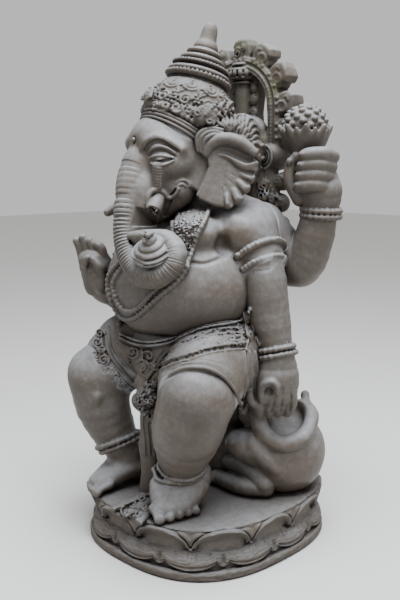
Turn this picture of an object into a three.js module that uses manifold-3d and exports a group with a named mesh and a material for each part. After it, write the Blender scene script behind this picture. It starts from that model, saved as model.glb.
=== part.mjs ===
// Seated four-armed Ganesha garden statue, cast in stone in one piece with its oval double-lotus plinth.
// Millimetres, +Z up. The figure faces -Y, and its own left side is towards +X.
// The origin is on the plinth's flat underside, at the middle of the whole statue's box.
import * as THREE from "three";
import { mergeVertices } from "three/addons/utils/BufferGeometryUtils.js";
import Module from "manifold-3d";

const wasm = await Module();
wasm.setup();

// Driving dimensions
const STATUE_HEIGHT = 1000;
const PLINTH_HALF_WIDTH = 214;
const PLINTH_HALF_DEPTH = 228;
const PLINTH_SQUARENESS = 2.6;
const PLINTH_TOP = 98;
const SLAB_HEIGHT = 19;
const WAIST_HEIGHT = 53;
const WAIST_SCALE = 0.88;
const PETALS = 12;
const PETAL_TURN = -97.5;
const PETAL_CLEARANCE = 1.12;
const PETAL_ARCH = 0.6;
const HEAD_CENTRE = [-14, -56, 762];
const HEAD_RADII = [84, 88, 86];
const HEAD_TURN = -15;
const HEAD_TILT = -16;
const CROWN_TIP = (STATUE_HEIGHT - HEAD_CENTRE[2]) / Math.cos(HEAD_TILT * Math.PI / 180);
const BELLY_CENTRE = [0, -45, 515];
const BELLY_RADII = [152, 140, 122];
const KNEE_RADIUS = 68;
const WRIST_RADIUS = 31;
const HALO_PLANE = 110;
const HALO_FOOT = 748;
const HALO_CENTRE = 845;
const HALO_RADIUS = 86;
const HALO_BAND = 28;
const HALO_DEPTH = 40;
const LEAF_PITCH = 29;
const LEAF_REACH = 128;

const STONE_COLOUR = 0x8a8378;
const WELD = 1e-3;
const FACE_LIMIT = 9900;
const EDGE_CARE = 0.02;
const TURN_LIMIT = 0.3;
const DEGREE = Math.PI / 180;

const point = (at) => new THREE.Vector3(...at);
const mirrored = (at) => [-at[0], ...at.slice(1)];

// Solids and their placing
function solid(geometry) {
  const bare = geometry.clone();
  bare.deleteAttribute("normal");
  bare.deleteAttribute("uv");
  const welded = mergeVertices(bare, WELD);
  const places = welded.attributes.position;
  const corners = welded.index.array;
  const kept = [];
  let volume = 0;
  const [a, b, c] = [new THREE.Vector3(), new THREE.Vector3(), new THREE.Vector3()];
  for (let i = 0; i < corners.length; i += 3) {
    const face = [corners[i], corners[i + 1], corners[i + 2]];
    if (new Set(face).size < 3) continue;
    kept.push(...face);
    a.fromBufferAttribute(places, face[0]);
    b.fromBufferAttribute(places, face[1]);
    c.fromBufferAttribute(places, face[2]);
    volume += a.dot(b.cross(c));
  }
  if (volume < 0) kept.reverse();
  return new wasm.Manifold(new wasm.Mesh({
    numProp: 3,
    vertProperties: new Float32Array(places.array),
    triVerts: new Uint32Array(kept),
  }));
}

const sculpture = [];

function add(geometry, frame = null) {
  const placed = geometry.clone();
  if (frame) placed.applyMatrix4(frame);
  sculpture.push(solid(placed));
}

// The head, its crown, ears and tusks share one turned and tilted frame.
const HEAD_FRAME = new THREE.Matrix4()
  .makeTranslation(...HEAD_CENTRE)
  .multiply(new THREE.Matrix4().makeRotationZ(HEAD_TURN * DEGREE))
  .multiply(new THREE.Matrix4().makeRotationX(HEAD_TILT * DEGREE));

// Basic sculptor's shapes
function blob(at, radii, { turn = [0, 0, 0], sides = 10, rows = 7 } = {}) {
  const shape = new THREE.SphereGeometry(1, sides, rows);
  shape.rotateX(Math.PI / 2);
  shape.scale(...radii);
  shape.rotateX(turn[0] * DEGREE);
  shape.rotateY(turn[1] * DEGREE);
  shape.rotateZ(turn[2] * DEGREE);
  shape.translate(...at);
  return shape;
}

// A limb through stops of [x, y, z, radius]. Ends are round, tapered or flat; wide stretches the section
// along the across direction, and ridge narrows every other ring into a wrinkle.
function limb(stops, options = {}) {
  const { sides = 6, rings = stops.length - 1, across = null, wide = 1, ends = "taper", ridge = 0 } = options;
  const through = (read) => new THREE.CatmullRomCurve3(stops.map(read), false, "catmullrom");
  const line = through((s) => new THREE.Vector3(s[0], s[1], s[2]));
  const girth = through((s) => new THREE.Vector3(s[3], 0, 0));
  const sections = [];
  for (let k = 0; k <= rings; k += 1) {
    const t = k / rings;
    const radius = girth.getPoint(t).x * (k % 2 ? 1 - ridge : 1);
    sections.push({ centre: line.getPoint(t), along: line.getTangent(t), radius });
  }
  const nose = (end, reach) => end.centre.clone().addScaledVector(end.along, reach * end.radius);
  const reach = { round: 1, taper: 0.7, flat: 0 }[ends];
  const tips = [nose(sections[0], -reach), nose(sections[rings], reach)];
  if (ends === "round") {
    for (const [end, sign] of [[sections[0], -1], [sections[rings], 1]]) {
      const shoulder = { centre: nose(end, sign * 0.6), along: end.along, radius: end.radius * 0.8 };
      if (sign < 0) sections.unshift(shoulder);
      else sections.push(shoulder);
    }
  }
  const rows = sections.length + 1;
  const shape = new THREE.SphereGeometry(1, sides, rows);
  const places = shape.attributes.position;
  const guide = across ? point(across) : null;
  let side = guide ?? new THREE.Vector3(1, 0.3, 0.2);
  for (let row = 0; row <= rows; row += 1) {
    const section = sections[Math.min(Math.max(row - 1, 0), sections.length - 1)];
    const along = section.along;
    side = (guide ?? side).clone().addScaledVector(along, -(guide ?? side).dot(along)).normalize();
    const up = along.clone().cross(side);
    for (let column = 0; column <= sides; column += 1) {
      const angle = (column % sides) / sides * 2 * Math.PI;
      let spot = section.centre.clone();
      spot.addScaledVector(side, -Math.cos(angle) * section.radius * wide);
      spot.addScaledVector(up, Math.sin(angle) * section.radius);
      if (row === 0) spot = tips[0];
      if (row === rows) spot = tips[1];
      places.setXYZ(row * (sides + 1) + column, spot.x, spot.y, spot.z);
    }
  }
  return shape;
}

// A turned shape about the Z axis from [radius, height] points that close on the axis or on themselves.
function turned(profile, segments) {
  const shape = new THREE.LatheGeometry(profile.map((p) => new THREE.Vector2(p[0], p[1])), segments);
  shape.rotateX(Math.PI / 2);
  return shape;
}

// A raised band round a limb, square to the axis.
function band(at, axis, radius, { roll = 7, wide = 1, across = [1, 0, 0], segments = 10 } = {}) {
  const profile = [
    [radius * 0.7, -roll * 1.4], [radius + roll * 0.5, -roll * 1.4], [radius + roll, 0],
    [radius + roll * 0.5, roll * 1.4], [radius * 0.7, roll * 1.4], [radius * 0.7, -roll * 1.4],
  ];
  const shape = turned(profile, segments);
  const up = point(axis).normalize();
  const side = point(across).addScaledVector(up, -point(across).dot(up)).normalize();
  const front = up.clone().cross(side);
  shape.scale(wide, 1, 1);
  shape.applyMatrix4(new THREE.Matrix4().makeBasis(side, front, up));
  shape.translate(...at);
  return shape;
}

// A flat carved piece: an outline extruded along its own +Z.
function carved(outline, depth, curveSegments = 3) {
  return new THREE.ExtrudeGeometry(outline, { depth, bevelEnabled: false, curveSegments });
}

function pointedOutline(width, height) {
  const outline = new THREE.Shape();
  outline.moveTo(-width / 2, 0);
  outline.lineTo(width / 2, 0);
  outline.quadraticCurveTo(width * 0.42, height * 0.55, 0, height);
  outline.quadraticCurveTo(-width * 0.42, height * 0.55, -width / 2, 0);
  return outline;
}

// Plinth: a rounded oblong turned form whose rows follow the arched edges of two tiers of petals.
// The lower petals hang outwards over the slab and the upper petals rise outwards to the top.
// Each row is [scale, height] at a petal's tip, and the same in the notch between two petals.
function plinth() {
  const columns = 10;
  const segments = PETALS * columns;
  const rows = [
    { tip: [0, 0] },
    { tip: [1, 0] },
    { tip: [1, SLAB_HEIGHT - 3] },
    { tip: [0.965, SLAB_HEIGHT + 1] },
    { tip: [0.94, SLAB_HEIGHT + 6], notch: [WAIST_SCALE + 0.005, WAIST_HEIGHT - 5], shift: 0.5 },
    { tip: [0.99, SLAB_HEIGHT + 8], notch: [WAIST_SCALE + 0.02, WAIST_HEIGHT - 4], shift: 0.5 },
    { tip: [WAIST_SCALE + 0.03, WAIST_HEIGHT - 1] },
    { tip: [WAIST_SCALE, WAIST_HEIGHT + 2] },
    { tip: [0.945, PLINTH_TOP - 16], notch: [WAIST_SCALE + 0.005, WAIST_HEIGHT + 5], shift: 0 },
    { tip: [0.995, PLINTH_TOP - 8], notch: [WAIST_SCALE + 0.02, WAIST_HEIGHT + 8], shift: 0 },
    { tip: [0.975, PLINTH_TOP - 5], notch: [WAIST_SCALE + 0.01, WAIST_HEIGHT + 10], shift: 0 },
    { tip: [0.97, PLINTH_TOP - 2] },
    { tip: [0.96, PLINTH_TOP] },
    { tip: [0, PLINTH_TOP] },
  ];
  const shape = turned(rows.map((_, k) => [k === 0 || k === rows.length - 1 ? 0 : 1, k]), segments);
  const places = shape.attributes.position;
  for (let k = 0; k < places.count; k += 1) {
    const { tip, notch = tip, shift = 0 } = rows[k % rows.length];
    const step = Math.floor(k / rows.length) % segments;
    const angle = step / segments * 2 * Math.PI + PETAL_TURN * DEGREE;
    const across = ((step / columns + shift + 0.5) % 1 - 0.5) * 2;
    const rise = Math.max(1 - (across * PETAL_CLEARANCE) ** 2, 0) ** PETAL_ARCH;
    const scale = notch[0] + (tip[0] - notch[0]) * rise;
    const [c, s] = [Math.cos(angle), Math.sin(angle)];
    const reach = ((Math.abs(c) / PLINTH_HALF_WIDTH) ** PLINTH_SQUARENESS
      + (Math.abs(s) / PLINTH_HALF_DEPTH) ** PLINTH_SQUARENESS) ** (-1 / PLINTH_SQUARENESS);
    places.setXYZ(k, c * reach * scale, s * reach * scale, notch[1] + (tip[1] - notch[1]) * rise);
  }
  add(shape);
}

// Seat: a low rock under the hips, hidden by the legs from the front.
function seat() {
  add(limb([[0, 62, 92, 108], [5, 60, 190, 98], [0, 50, 275, 94], [0, 40, 350, 108]], { sides: 10, ends: "flat" }));
}

// Mount: the crouching rat at the figure's left, its haunch rolled into a dish under the resting hand.
function crouchingMount() {
  add(blob([140, 92, 170], [66, 84, 82], { sides: 16, rows: 10 }));
  add(limb([[122, 10, 290, 18], [138, 6, 250, 22], [164, 20, 216, 24], [190, 56, 218, 24], [188, 96, 246, 22],
    [160, 124, 262, 16]], { sides: 8, rings: 10 }));
  add(limb([[150, 100, 250, 34], [120, 64, 244, 34], [100, 24, 262, 26]], { sides: 10, rings: 4 }));
  add(limb([[140, 60, 190, 44], [118, 4, 198, 36], [84, -22, 204, 26], [56, -18, 184, 18]], { sides: 8, rings: 4 }));
  add(limb([[58, 0, 164, 22], [98, 6, 148, 29], [140, 34, 126, 29]], { sides: 9, rings: 3 }));
  add(limb([[142, 40, 118, 26], [104, 6, 114, 24], [54, -22, 112, 20]], { sides: 9, rings: 3 }));
  for (const [step, length] of [[-13, 20], [0, 26], [13, 18]]) {
    const start = [56 - step * 0.6, -20 + step * 0.9, 110, 9];
    add(limb([start, [start[0] - length * 0.8, start[1] - length * 0.35, 104, 8]], { sides: 5 }));
  }
  add(limb([[60, 150, 170, 34], [20, 172, 140, 24], [-40, 172, 122, 16], [-90, 146, 108, 10]], { sides: 6, rings: 4 }));
}

// Legs: thick thighs and calves, ankle bands, bare feet with five toes each.
function foot(heel, arch, toes, direction, slant, width, flip) {
  const forward = point(direction).normalize();
  const across = new THREE.Vector3(-forward.y, forward.x, 0).multiplyScalar(flip);
  add(limb([[...heel, 27], [...arch, 29], [...toes, 17]], { sides: 10, rings: 4, across: across.toArray(), wide: 1.5 }));
  for (let k = 0; k < 5; k += 1) {
    const share = k / 4 - 0.5;
    const tip = point(toes).addScaledVector(across, share * width).addScaledVector(forward, 6 - share * slant);
    const root = tip.clone().addScaledVector(forward, -30);
    const radius = 13 - k * 1.2;
    add(limb([[root.x, root.y, root.z + 4, radius], [tip.x, tip.y, PLINTH_TOP + radius * 0.8, radius]],
      { sides: 6, ends: "round" }));
  }
}

function legs() {
  add(limb([[72, 30, 380, 74], [104, -80, 372, 73], [128, -152, 338, KNEE_RADIUS]],
    { sides: 14, rings: 5, ends: "round" }));
  add(limb([[128, -152, 336, KNEE_RADIUS], [108, -150, 268, KNEE_RADIUS + 1], [78, -124, 207, 48], [52, -104, 160, 38]],
    { sides: 14, rings: 6, ends: "round" }));
  foot([30, -84, 122], [54, -112, 134], [92, -152, 114], [0.74, -0.67, 0], 48, 84, 1);
  add(limb([[-72, 30, 380, 74], [-112, -80, 366, 72], [-148, -158, 322, 60]], { sides: 14, rings: 5, ends: "round" }));
  add(limb([[-148, -158, 320, 60], [-144, -158, 262, 57], [-126, -140, 205, 43], [-112, -122, 160, 36]],
    { sides: 14, rings: 6, ends: "round" }));
  foot([-108, -84, 122], [-112, -128, 134], [-118, -196, 110], [-0.1, -1, 0], 26, 60, -1);
  add(band([62, -112, 176], [0.55, -0.35, 0.9], 41, { roll: 6 }));
  add(band([-116, -128, 180], [-0.25, -0.3, 0.95], 36, { roll: 6 }));
}

// Skirt: a cloth over both thighs with banded hems, an apron between them and a sash down to the plinth.
function skirt() {
  add(blob([0, 20, 388], [140, 116, 80], { sides: 18, rows: 9 }));
  add(limb([[66, 20, 384, 84], [98, -74, 380, 82], [122, -142, 352, 76]], { sides: 16, rings: 4, ends: "flat" }));
  add(limb([[-66, 20, 392, 86], [-104, -66, 386, 84], [-134, -124, 348, 70]], { sides: 16, rings: 4, ends: "flat" }));
  add(blob([-4, -88, 376], [112, 72, 48], { turn: [14, 0, 0], sides: 10 }));
  const apron = new THREE.Shape();
  apron.moveTo(-86, 0);
  apron.lineTo(86, 0);
  apron.quadraticCurveTo(52, -64, 12, -102);
  apron.lineTo(-8, -102);
  apron.quadraticCurveTo(-56, -64, -86, 0);
  add(carved(apron, 16), new THREE.Matrix4().makeTranslation(0, -134, 404)
    .multiply(new THREE.Matrix4().makeRotationX(82 * DEGREE)));
  add(limb([[-82, -126, 396, 8], [-40, -154, 338, 8], [6, -164, 304, 9]], { sides: 4 }));
  add(limb([[78, -150, 404, 8], [44, -162, 344, 8], [6, -164, 304, 9]], { sides: 4 }));
  add(blob([6, -162, 290], [22, 15, 32], { sides: 6, rows: 4 }));
  add(limb([[2, -152, 300, 8], [-6, -150, 220, 8], [-14, -142, 150, 8], [-22, -138, 96, 9]],
    { sides: 4, across: [0.8, 0.6, 0], wide: 2.4 }));
  add(limb([[-22, -138, 100, 7], [8, -176, 99, 7], [44, -200, 99, 6], [62, -212, 96, 5]],
    { sides: 4, across: [0.7, 0.7, 0], wide: 2.4 }));
  for (const [x, y, turn] of [[-46, -186, 0], [-22, -196, 1], [-44, -160, 2]]) {
    const curl = [0, 1, 2, 3].map((k) => {
      const angle = (turn * 70 + k * 75) * DEGREE;
      return [x + 14 * Math.cos(angle), y + 14 * Math.sin(angle), 99, 7 - k];
    });
    add(limb(curl, { sides: 4 }));
  }
  // Waist cord under the belly, and the knotted cloth ends on the left hip.
  add(limb([[-150, -20, 478, 9], [-96, -146, 430, 9], [10, -178, 418, 9], [104, -140, 436, 9], [156, -40, 478, 9],
    [150, 30, 492, 9], [140, 66, 490, 9]], { sides: 4, rings: 10 }));
  add(limb([[-148, -30, 478, 9], [-146, 40, 484, 9], [-96, 98, 484, 9], [0, 116, 484, 9], [96, 98, 488, 9],
    [146, 50, 492, 9]], { sides: 4, rings: 8 }));
  for (const [x, y, z] of [[158, -22, 418], [150, -56, 424], [146, -14, 512]]) {
    add(limb([[134, -32, 464, 26], [x, y, z, 6]], { sides: 5 }));
  }
  // Upright folds beside the left thigh, behind the hand.
  for (const [x, y] of [[134, -16], [146, 14], [142, 46]]) {
    add(limb([[x - 6, y, 450, 14], [x, y - 6, 370, 17], [x - 10, y - 12, 280, 9]], { sides: 5 }));
  }
}

// Trunk of the body: round belly, soft chest, broad back and shoulders.
function torso() {
  add(blob(BELLY_CENTRE, BELLY_RADII, { sides: 24, rows: 15 }));
  add(blob([0, 12, 580], [128, 88, 108], { sides: 18, rows: 11 }));
  add(blob([58, -92, 606], [56, 48, 44], { turn: [0, -14, 0], sides: 14, rows: 8 }));
  add(blob([-58, -92, 606], [56, 48, 44], { turn: [0, 14, 0], sides: 14, rows: 8 }));
  add(blob([0, -10, 672], [70, 66, 70], { sides: 10, rows: 6 }));
  add(blob([0, 0, 634], [126, 74, 58], { sides: 18, rows: 9 }));
  for (const side of [1, -1]) {
    add(blob([98 * side, 6, 618], [58, 78, 58], { turn: [0, 24 * side, 14 * side], sides: 16, rows: 10 }));
  }
}

// Fingers: each is a bent limb from its knuckle through its joints.
function fingers(chains, radius) {
  for (const chain of chains) {
    add(limb(chain.map((p, k) => [...p, radius * (1 - 0.1 * k)]), { sides: 6, ends: "round" }));
  }
}

function leftRestingArm() {
  add(limb([[112, 0, 610, 48], [136, -4, 560, 46], [157, -2, 480, 41], [176, 0, 410, 32], [180, 0, 388, 31]],
    { sides: 14, rings: 6 }));
  add(band([179, 0, 396], [0.25, 0, 1], 34));
  add(limb([[180, 0, 382, 31], [181, -2, 342, 39], [174, 2, 318, 32]],
    { sides: 8, across: [0.6, 0.8, 0], wide: 1.25 }));
  fingers([-1.5, -0.5, 0.5, 1.5].map((k) => [
    [176 + k * 11, 4 + k * 15, 330], [174 + k * 12, 4 + k * 17, 292], [162 + k * 11, 8 + k * 14, 262],
  ]), 13);
  fingers([[[162, -32, 354], [154, -40, 322], [154, -30, 298]]], 13);
}

function rightBlessingArm() {
  add(limb([[-112, 0, 610, 48], [-146, 6, 555, 44], [-170, -8, 500, 40], [-168, -60, 484, 35], [-152, -122, 490, 28]],
    { sides: 14, rings: 8 }));
  add(band([-156, -106, 489], [0.15, -1, 0.15], 31, { roll: 6 }));
  add(limb([[-150, -130, 492, 28], [-154, -146, 530, 28], [-160, -154, 556, 24]],
    { sides: 8, across: [0.8, 0.5, 0], wide: 1.3 }));
  fingers([-1.5, -0.5, 0.5, 1.5].map((k) => [
    [-160 + k * 14, -155 + k * 6, 552], [-163 + k * 14, -162 + k * 6, 576],
    [-168 + k * 13, -166 + k * 6, 595 - Math.abs(k + 0.5) * 6],
  ]), 10);
  fingers([[[-132, -144, 520], [-126, -158, 540], [-134, -168, 558]]], 10);
}

// Raised rear arms, the same on both sides up to the wrist, with one armlet round both left or right arms.
function raisedArm(side) {
  const flip = (stops) => (side > 0 ? stops : stops.map(mirrored));
  add(limb(flip([[100, 40, 618, 52], [136, 76, 566, 47], [164, 86, 552, 44], [190, 88, 594, 38],
    [206, 88, 650, WRIST_RADIUS]]), { sides: 14, rings: 8 }));
  add(band(flip([[207, 90, 648]])[0], [0.1 * side, 0, 1], WRIST_RADIUS + 3));
  add(limb(flip([[207, 90, 664, 30], [205, 88, 690, 37], [200, 88, 712, 29]]),
    { sides: 8, across: [1, 0.4 * side, 0], wide: 1.15 }));
  add(band(flip([[136, 0, 582]])[0], [0.1 * side, -0.35, 0.93], 64,
    { wide: 0.82, across: [1, 0, 0], segments: 12 }));
}

// The left rear hand curls round the stem of a lotus bud.
function lotusHand() {
  fingers([0, 1, 2].map((k) => [
    [226 - k * 2, 84 - k * 4, 714 - k * 13], [226 - k * 4, 58 - k * 2, 718 - k * 14], [200 - k * 3, 46, 712 - k * 13],
  ]), 12);
  fingers([[[180, 70, 690], [166, 62, 718], [170, 70, 744]]], 12);
  fingers([[[212, 80, 722], [208, 66, 748], [188, 74, 754]]], 11);
  const budHeight = 800;
  add(blob([168, 90, budHeight], [42, 42, 44], { sides: 10, rows: 6 }));
  for (let k = 0; k < 6; k += 1) {
    const around = (k * 60 + 15) * DEGREE;
    const petal = carved(pointedOutline(44, 48), 8, 2);
    add(petal, new THREE.Matrix4().makeTranslation(168, 90, budHeight - 36)
      .multiply(new THREE.Matrix4().makeRotationZ(around))
      .multiply(new THREE.Matrix4().makeTranslation(0, -27, 0))
      .multiply(new THREE.Matrix4().makeRotationX(103 * DEGREE)));
    add(blob([168 + 24 * Math.cos(around), 90 + 24 * Math.sin(around), budHeight + 28], [14, 14, 13],
      { sides: 5, rows: 3 }));
  }
}

// The right rear hand holds a small upright axe against the shoulder of the halo.
function axeHand() {
  fingers([0, 1, 2, 3].map((k) => [
    [-224, 80, 716 - k * 13], [-222, 56, 717 - k * 13], [-200, 50, 714 - k * 13],
  ]), 11);
  fingers([[[-184, 70, 690], [-182, 52, 706], [-198, 46, 720]]], 11);
  add(limb([[-202, 66, 668, 9], [-198, 70, 740, 9], [-192, 74, 800, 9]], { sides: 6, ends: "flat" }));
  const blade = new THREE.Shape();
  blade.moveTo(-6, -14);
  blade.lineTo(24, -30);
  blade.quadraticCurveTo(34, 0, 24, 30);
  blade.lineTo(-6, 14);
  blade.lineTo(-6, -14);
  add(carved(blade, 14), new THREE.Matrix4().makeTranslation(-194, 80, 772)
    .multiply(new THREE.Matrix4().makeRotationX(Math.PI / 2)).multiply(new THREE.Matrix4().makeRotationY(Math.PI)));
}

// Head in its own frame: front is -Y, the crown's axis is +Z.
function head() {
  add(blob([0, 0, 0], HEAD_RADII, { sides: 20, rows: 13 }), HEAD_FRAME);
  add(blob([0, -60, 4], [54, 42, 40], { sides: 14, rows: 9 }), HEAD_FRAME);
  add(blob([0, -16, -62], [50, 52, 46], { sides: 12, rows: 8 }), HEAD_FRAME);
  add(blob([0, -44, -98], [22, 26, 18], { sides: 7, rows: 4 }), HEAD_FRAME);
  for (const side of [1, -1]) {
    const bend = (stops) => stops.map(([x, y, z, r]) => [x * side, y, z, r]);
    add(blob([50 * side, -38, -36], [34, 40, 34], { sides: 12, rows: 8 }), HEAD_FRAME);
    add(limb(bend([[20, -96, -14, 6], [46, -84, 1, 7], [74, -50, -10, 5]]), { sides: 4, rings: 3 }), HEAD_FRAME);
    add(blob([46 * side, -70, -31], [20, 14, 10], { turn: [0, 0, -28 * side], sides: 7, rows: 4 }), HEAD_FRAME);
    add(limb(bend([[68, -22, -58, 5], [56, -44, -82, 7], [40, -58, -84, 7]]), { sides: 4 }), HEAD_FRAME);
    add(limb(bend([[44, -66, -52, 20], [44, -82, -74, 18]]), { sides: 7 }), HEAD_FRAME);
  }
  add(limb([[44, -76, -66, 14], [44, -92, -98, 13]], { sides: 7, ends: "flat" }), HEAD_FRAME);
  add(limb([[-44, -76, -66, 14], [-42, -92, -104, 9], [-36, -102, -130, 4]], { sides: 6 }), HEAD_FRAME);
}

// Trunk: hangs from the face, sweeps along the belly to the left and curls back over a ringed sweet.
function trunk() {
  add(limb([[-20, -92, 776, 40], [-34, -134, 734, 37], [-30, -160, 692, 31], [-24, -179, 650, 25],
    [-18, -188, 612, 23], [0, -196, 580, 23], [31, -203, 557, 23], [66, -203, 547, 23], [93, -192, 554, 22],
    [106, -176, 573, 21], [101, -164, 597, 20], [80, -162, 613, 17], [51, -170, 618, 14], [22, -182, 619, 11],
    [6, -188, 618, 9]], { sides: 8, rings: 46, ridge: 0.09 }));
  const sweet = turned([[0, -30], [30, -30], [37, -8], [32, 8], [20, 20], [18, 30], [0, 42]], 9);
  const facing = new THREE.Vector3(0.35, -0.85, 0.4).normalize();
  sweet.applyQuaternion(new THREE.Quaternion().setFromUnitVectors(new THREE.Vector3(0, 0, 1), facing));
  sweet.translate(64, -186, 582);
  add(sweet);
}

// Ears: broad fans with a rolled top edge and a fluted lower edge.
function ear(side) {
  const outline = new THREE.Shape();
  outline.moveTo(-6, -4);
  outline.quadraticCurveTo(20, 30, 62, 24);
  outline.quadraticCurveTo(96, 16, 102, -8);
  const flutes = [[96, -30], [86, -52], [72, -72], [52, -88], [28, -100], [4, -98]];
  let from = [102, -8];
  for (const to of flutes) {
    outline.quadraticCurveTo((from[0] + to[0]) / 2 + 6, (from[1] + to[1]) / 2 - 6, to[0], to[1]);
    from = to;
  }
  outline.lineTo(-14, -84);
  outline.quadraticCurveTo(8, -50, -6, -4);
  const blade = carved(outline, 12, 2);
  blade.rotateX(Math.PI / 2);
  const swing = 53 * DEGREE;
  const frame = HEAD_FRAME.clone()
    .multiply(new THREE.Matrix4().makeScale(side, 1, 1))
    .multiply(new THREE.Matrix4().makeTranslation(84, -4, 4))
    .multiply(new THREE.Matrix4().makeRotationZ(swing));
  add(blade, frame);
  add(limb([[2, -6, 0, 8], [18, -12, 17, 11], [48, -14, 20, 12], [78, -12, 10, 11], [98, -8, -12, 7]],
    { sides: 5 }), frame);
  add(limb([[92, -10, -30, 7], [62, -12, -38, 7]], { sides: 4 }), frame);
  for (const [x, z] of [[84, -50], [69, -68], [50, -83], [28, -94]]) {
    add(limb([[x, -12, z, 7], [x * 0.62 + 6, -12, z * 0.7, 4]], { sides: 4 }), frame);
  }
}

// Crown: dome over a banded diadem, stacked rings and a plain finial, with leaf crests and hair locks.
function crown() {
  const dome = turned([
    [0, 0], [82, 10], [85, 52], [81, 84], [72, 106], [60, 122], [54, 128], [60, 133], [60, 141], [50, 147],
    [53, 154], [50, 160], [40, 164], [43, 171], [39, 177], [30, 180], [32, 187], [28, 193], [21, 196], [22, 203],
    [17, 218], [12, 232], [8, CROWN_TIP - 5], [0, CROWN_TIP],
  ], 20);
  add(dome, HEAD_FRAME);
  const slope = HEAD_FRAME.clone().multiply(new THREE.Matrix4().makeTranslation(0, 0, 24))
    .multiply(new THREE.Matrix4().makeRotationX(-19 * DEGREE));
  add(turned([[60, -14], [90, -10], [88, 2], [93, 12], [90, 28], [60, 34], [60, -14]], 16), slope);
  const crest = (angle, width, height) => {
    add(carved(pointedOutline(width, height), 14), slope.clone()
      .multiply(new THREE.Matrix4().makeRotationZ(angle * DEGREE))
      .multiply(new THREE.Matrix4().makeTranslation(0, -82, 14))
      .multiply(new THREE.Matrix4().makeRotationX(84 * DEGREE)));
  };
  crest(0, 46, 48);
  for (const side of [1, -1]) {
    crest(84 * side, 50, 50);
    crest(48 * side, 34, 32);
    for (const [x, y, z] of [[62, 40, 34], [66, 48, 2], [50, 64, -26]]) {
      add(limb([[x * side, y, z + 16, 14], [(x + 16) * side, y + 10, z, 12], [(x + 8) * side, y + 16, z - 16, 8]],
        { sides: 5 }), HEAD_FRAME);
    }
  }
  for (let k = 0; k < 8; k += 1) {
    const rosette = blob([0, -76, 92], [17, 9, 16], { turn: [-22, 0, 0], sides: 7, rows: 4 });
    rosette.rotateZ((k * 45 + 22) * DEGREE);
    add(rosette, HEAD_FRAME);
  }
}

// Halo: an arched band with block-like flame leaves, a strut behind the crown and a carved back plate.
function halo() {
  const [outer, inner, foot] = [HALO_RADIUS + HALO_BAND / 2, HALO_RADIUS - HALO_BAND / 2, HALO_FOOT - HALO_CENTRE];
  const arch = new THREE.Shape();
  arch.moveTo(outer, foot);
  arch.absarc(0, 0, outer, 0, Math.PI, false);
  arch.lineTo(-outer, foot);
  arch.lineTo(-inner, foot);
  arch.absarc(0, 0, inner, Math.PI, 0, true);
  arch.lineTo(inner, foot);
  const stand = new THREE.Matrix4().makeTranslation(0, HALO_PLANE + HALO_DEPTH / 2, HALO_CENTRE)
    .multiply(new THREE.Matrix4().makeRotationX(Math.PI / 2));
  add(carved(arch, HALO_DEPTH, 12), stand);
  const tabLength = LEAF_REACH - HALO_RADIUS;
  const tab = new THREE.Shape();
  tab.moveTo(-15, 0);
  tab.lineTo(15, 0);
  tab.lineTo(17, tabLength - 8);
  tab.lineTo(8, tabLength);
  tab.lineTo(-8, tabLength - 2);
  tab.lineTo(-16, tabLength * 0.6);
  for (let k = -4; k <= 4; k += 1) {
    const onLeg = Math.abs(k) === 4;
    const angle = (onLeg ? 90 * Math.sign(k) : k * LEAF_PITCH) * DEGREE;
    const frame = stand.clone()
      .multiply(new THREE.Matrix4().makeTranslation(0, onLeg ? -44 : 0, 0))
      .multiply(new THREE.Matrix4().makeRotationZ(-angle))
      .multiply(new THREE.Matrix4().makeTranslation(0, HALO_RADIUS, 2));
    add(carved(tab, HALO_DEPTH - 4), frame);
    add(blob([-2, tabLength * 0.62, HALO_DEPTH - 4], [11, 11, 8], { sides: 7, rows: 4 }), frame);
  }
  for (const side of [1, -1]) {
    const boss = turned([[0, -22], [27, -22], [27, 14], [15, 22], [0, 22]], 10);
    boss.rotateX(Math.PI / 2);
    boss.translate(84 * side, 96, 752);
    add(boss);
    for (const [x, z] of [[106, 706], [102, 664], [104, 622]]) {
      add(blob([x * side, 104, z], [19, 18, 26], { sides: 6, rows: 4 }));
    }
  }
  add(limb([[0, 96, 790, 18], [0, 98, 860, 17], [0, 102, 925, 17]],
    { sides: 10, across: [1, 0, 0], wide: 2.5, ends: "flat" }));
  add(limb([[0, 92, 800, 34], [0, 92, 720, 46], [0, 88, 640, 48], [0, 78, 560, 46]],
    { sides: 14, rings: 5, across: [1, 0, 0], wide: 2.1, ends: "flat" }));
}

// Jewellery: the double necklace over the belly and the broad bands from the shoulders to the trunk.
function jewellery() {
  add(limb([[80, -150, 572, 8], [96, -172, 520, 8], [60, -186, 466, 8], [0, -188, 440, 8], [-48, -180, 456, 8],
    [-80, -162, 500, 8], [-88, -146, 556, 8], [-70, -126, 620, 8]],
  { sides: 4, rings: 12, across: [0, 0, 1], wide: 1.4 }));
  for (const side of [1, -1]) {
    add(limb([[58 * side, -52, 676, 11], [74 * side, -96, 636, 11], [84 * side, -134, 588, 10]],
      { sides: 5, rings: 3, across: [0.6 * side, 0.2, 0.6], wide: 2.4 }));
  }
}

plinth();
seat();
crouchingMount();
legs();
skirt();
torso();
leftRestingArm();
rightBlessingArm();
raisedArm(1);
raisedArm(-1);
lotusHand();
axeHand();
head();
trunk();
ear(1);
ear(-1);
crown();
halo();
jewellery();

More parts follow.
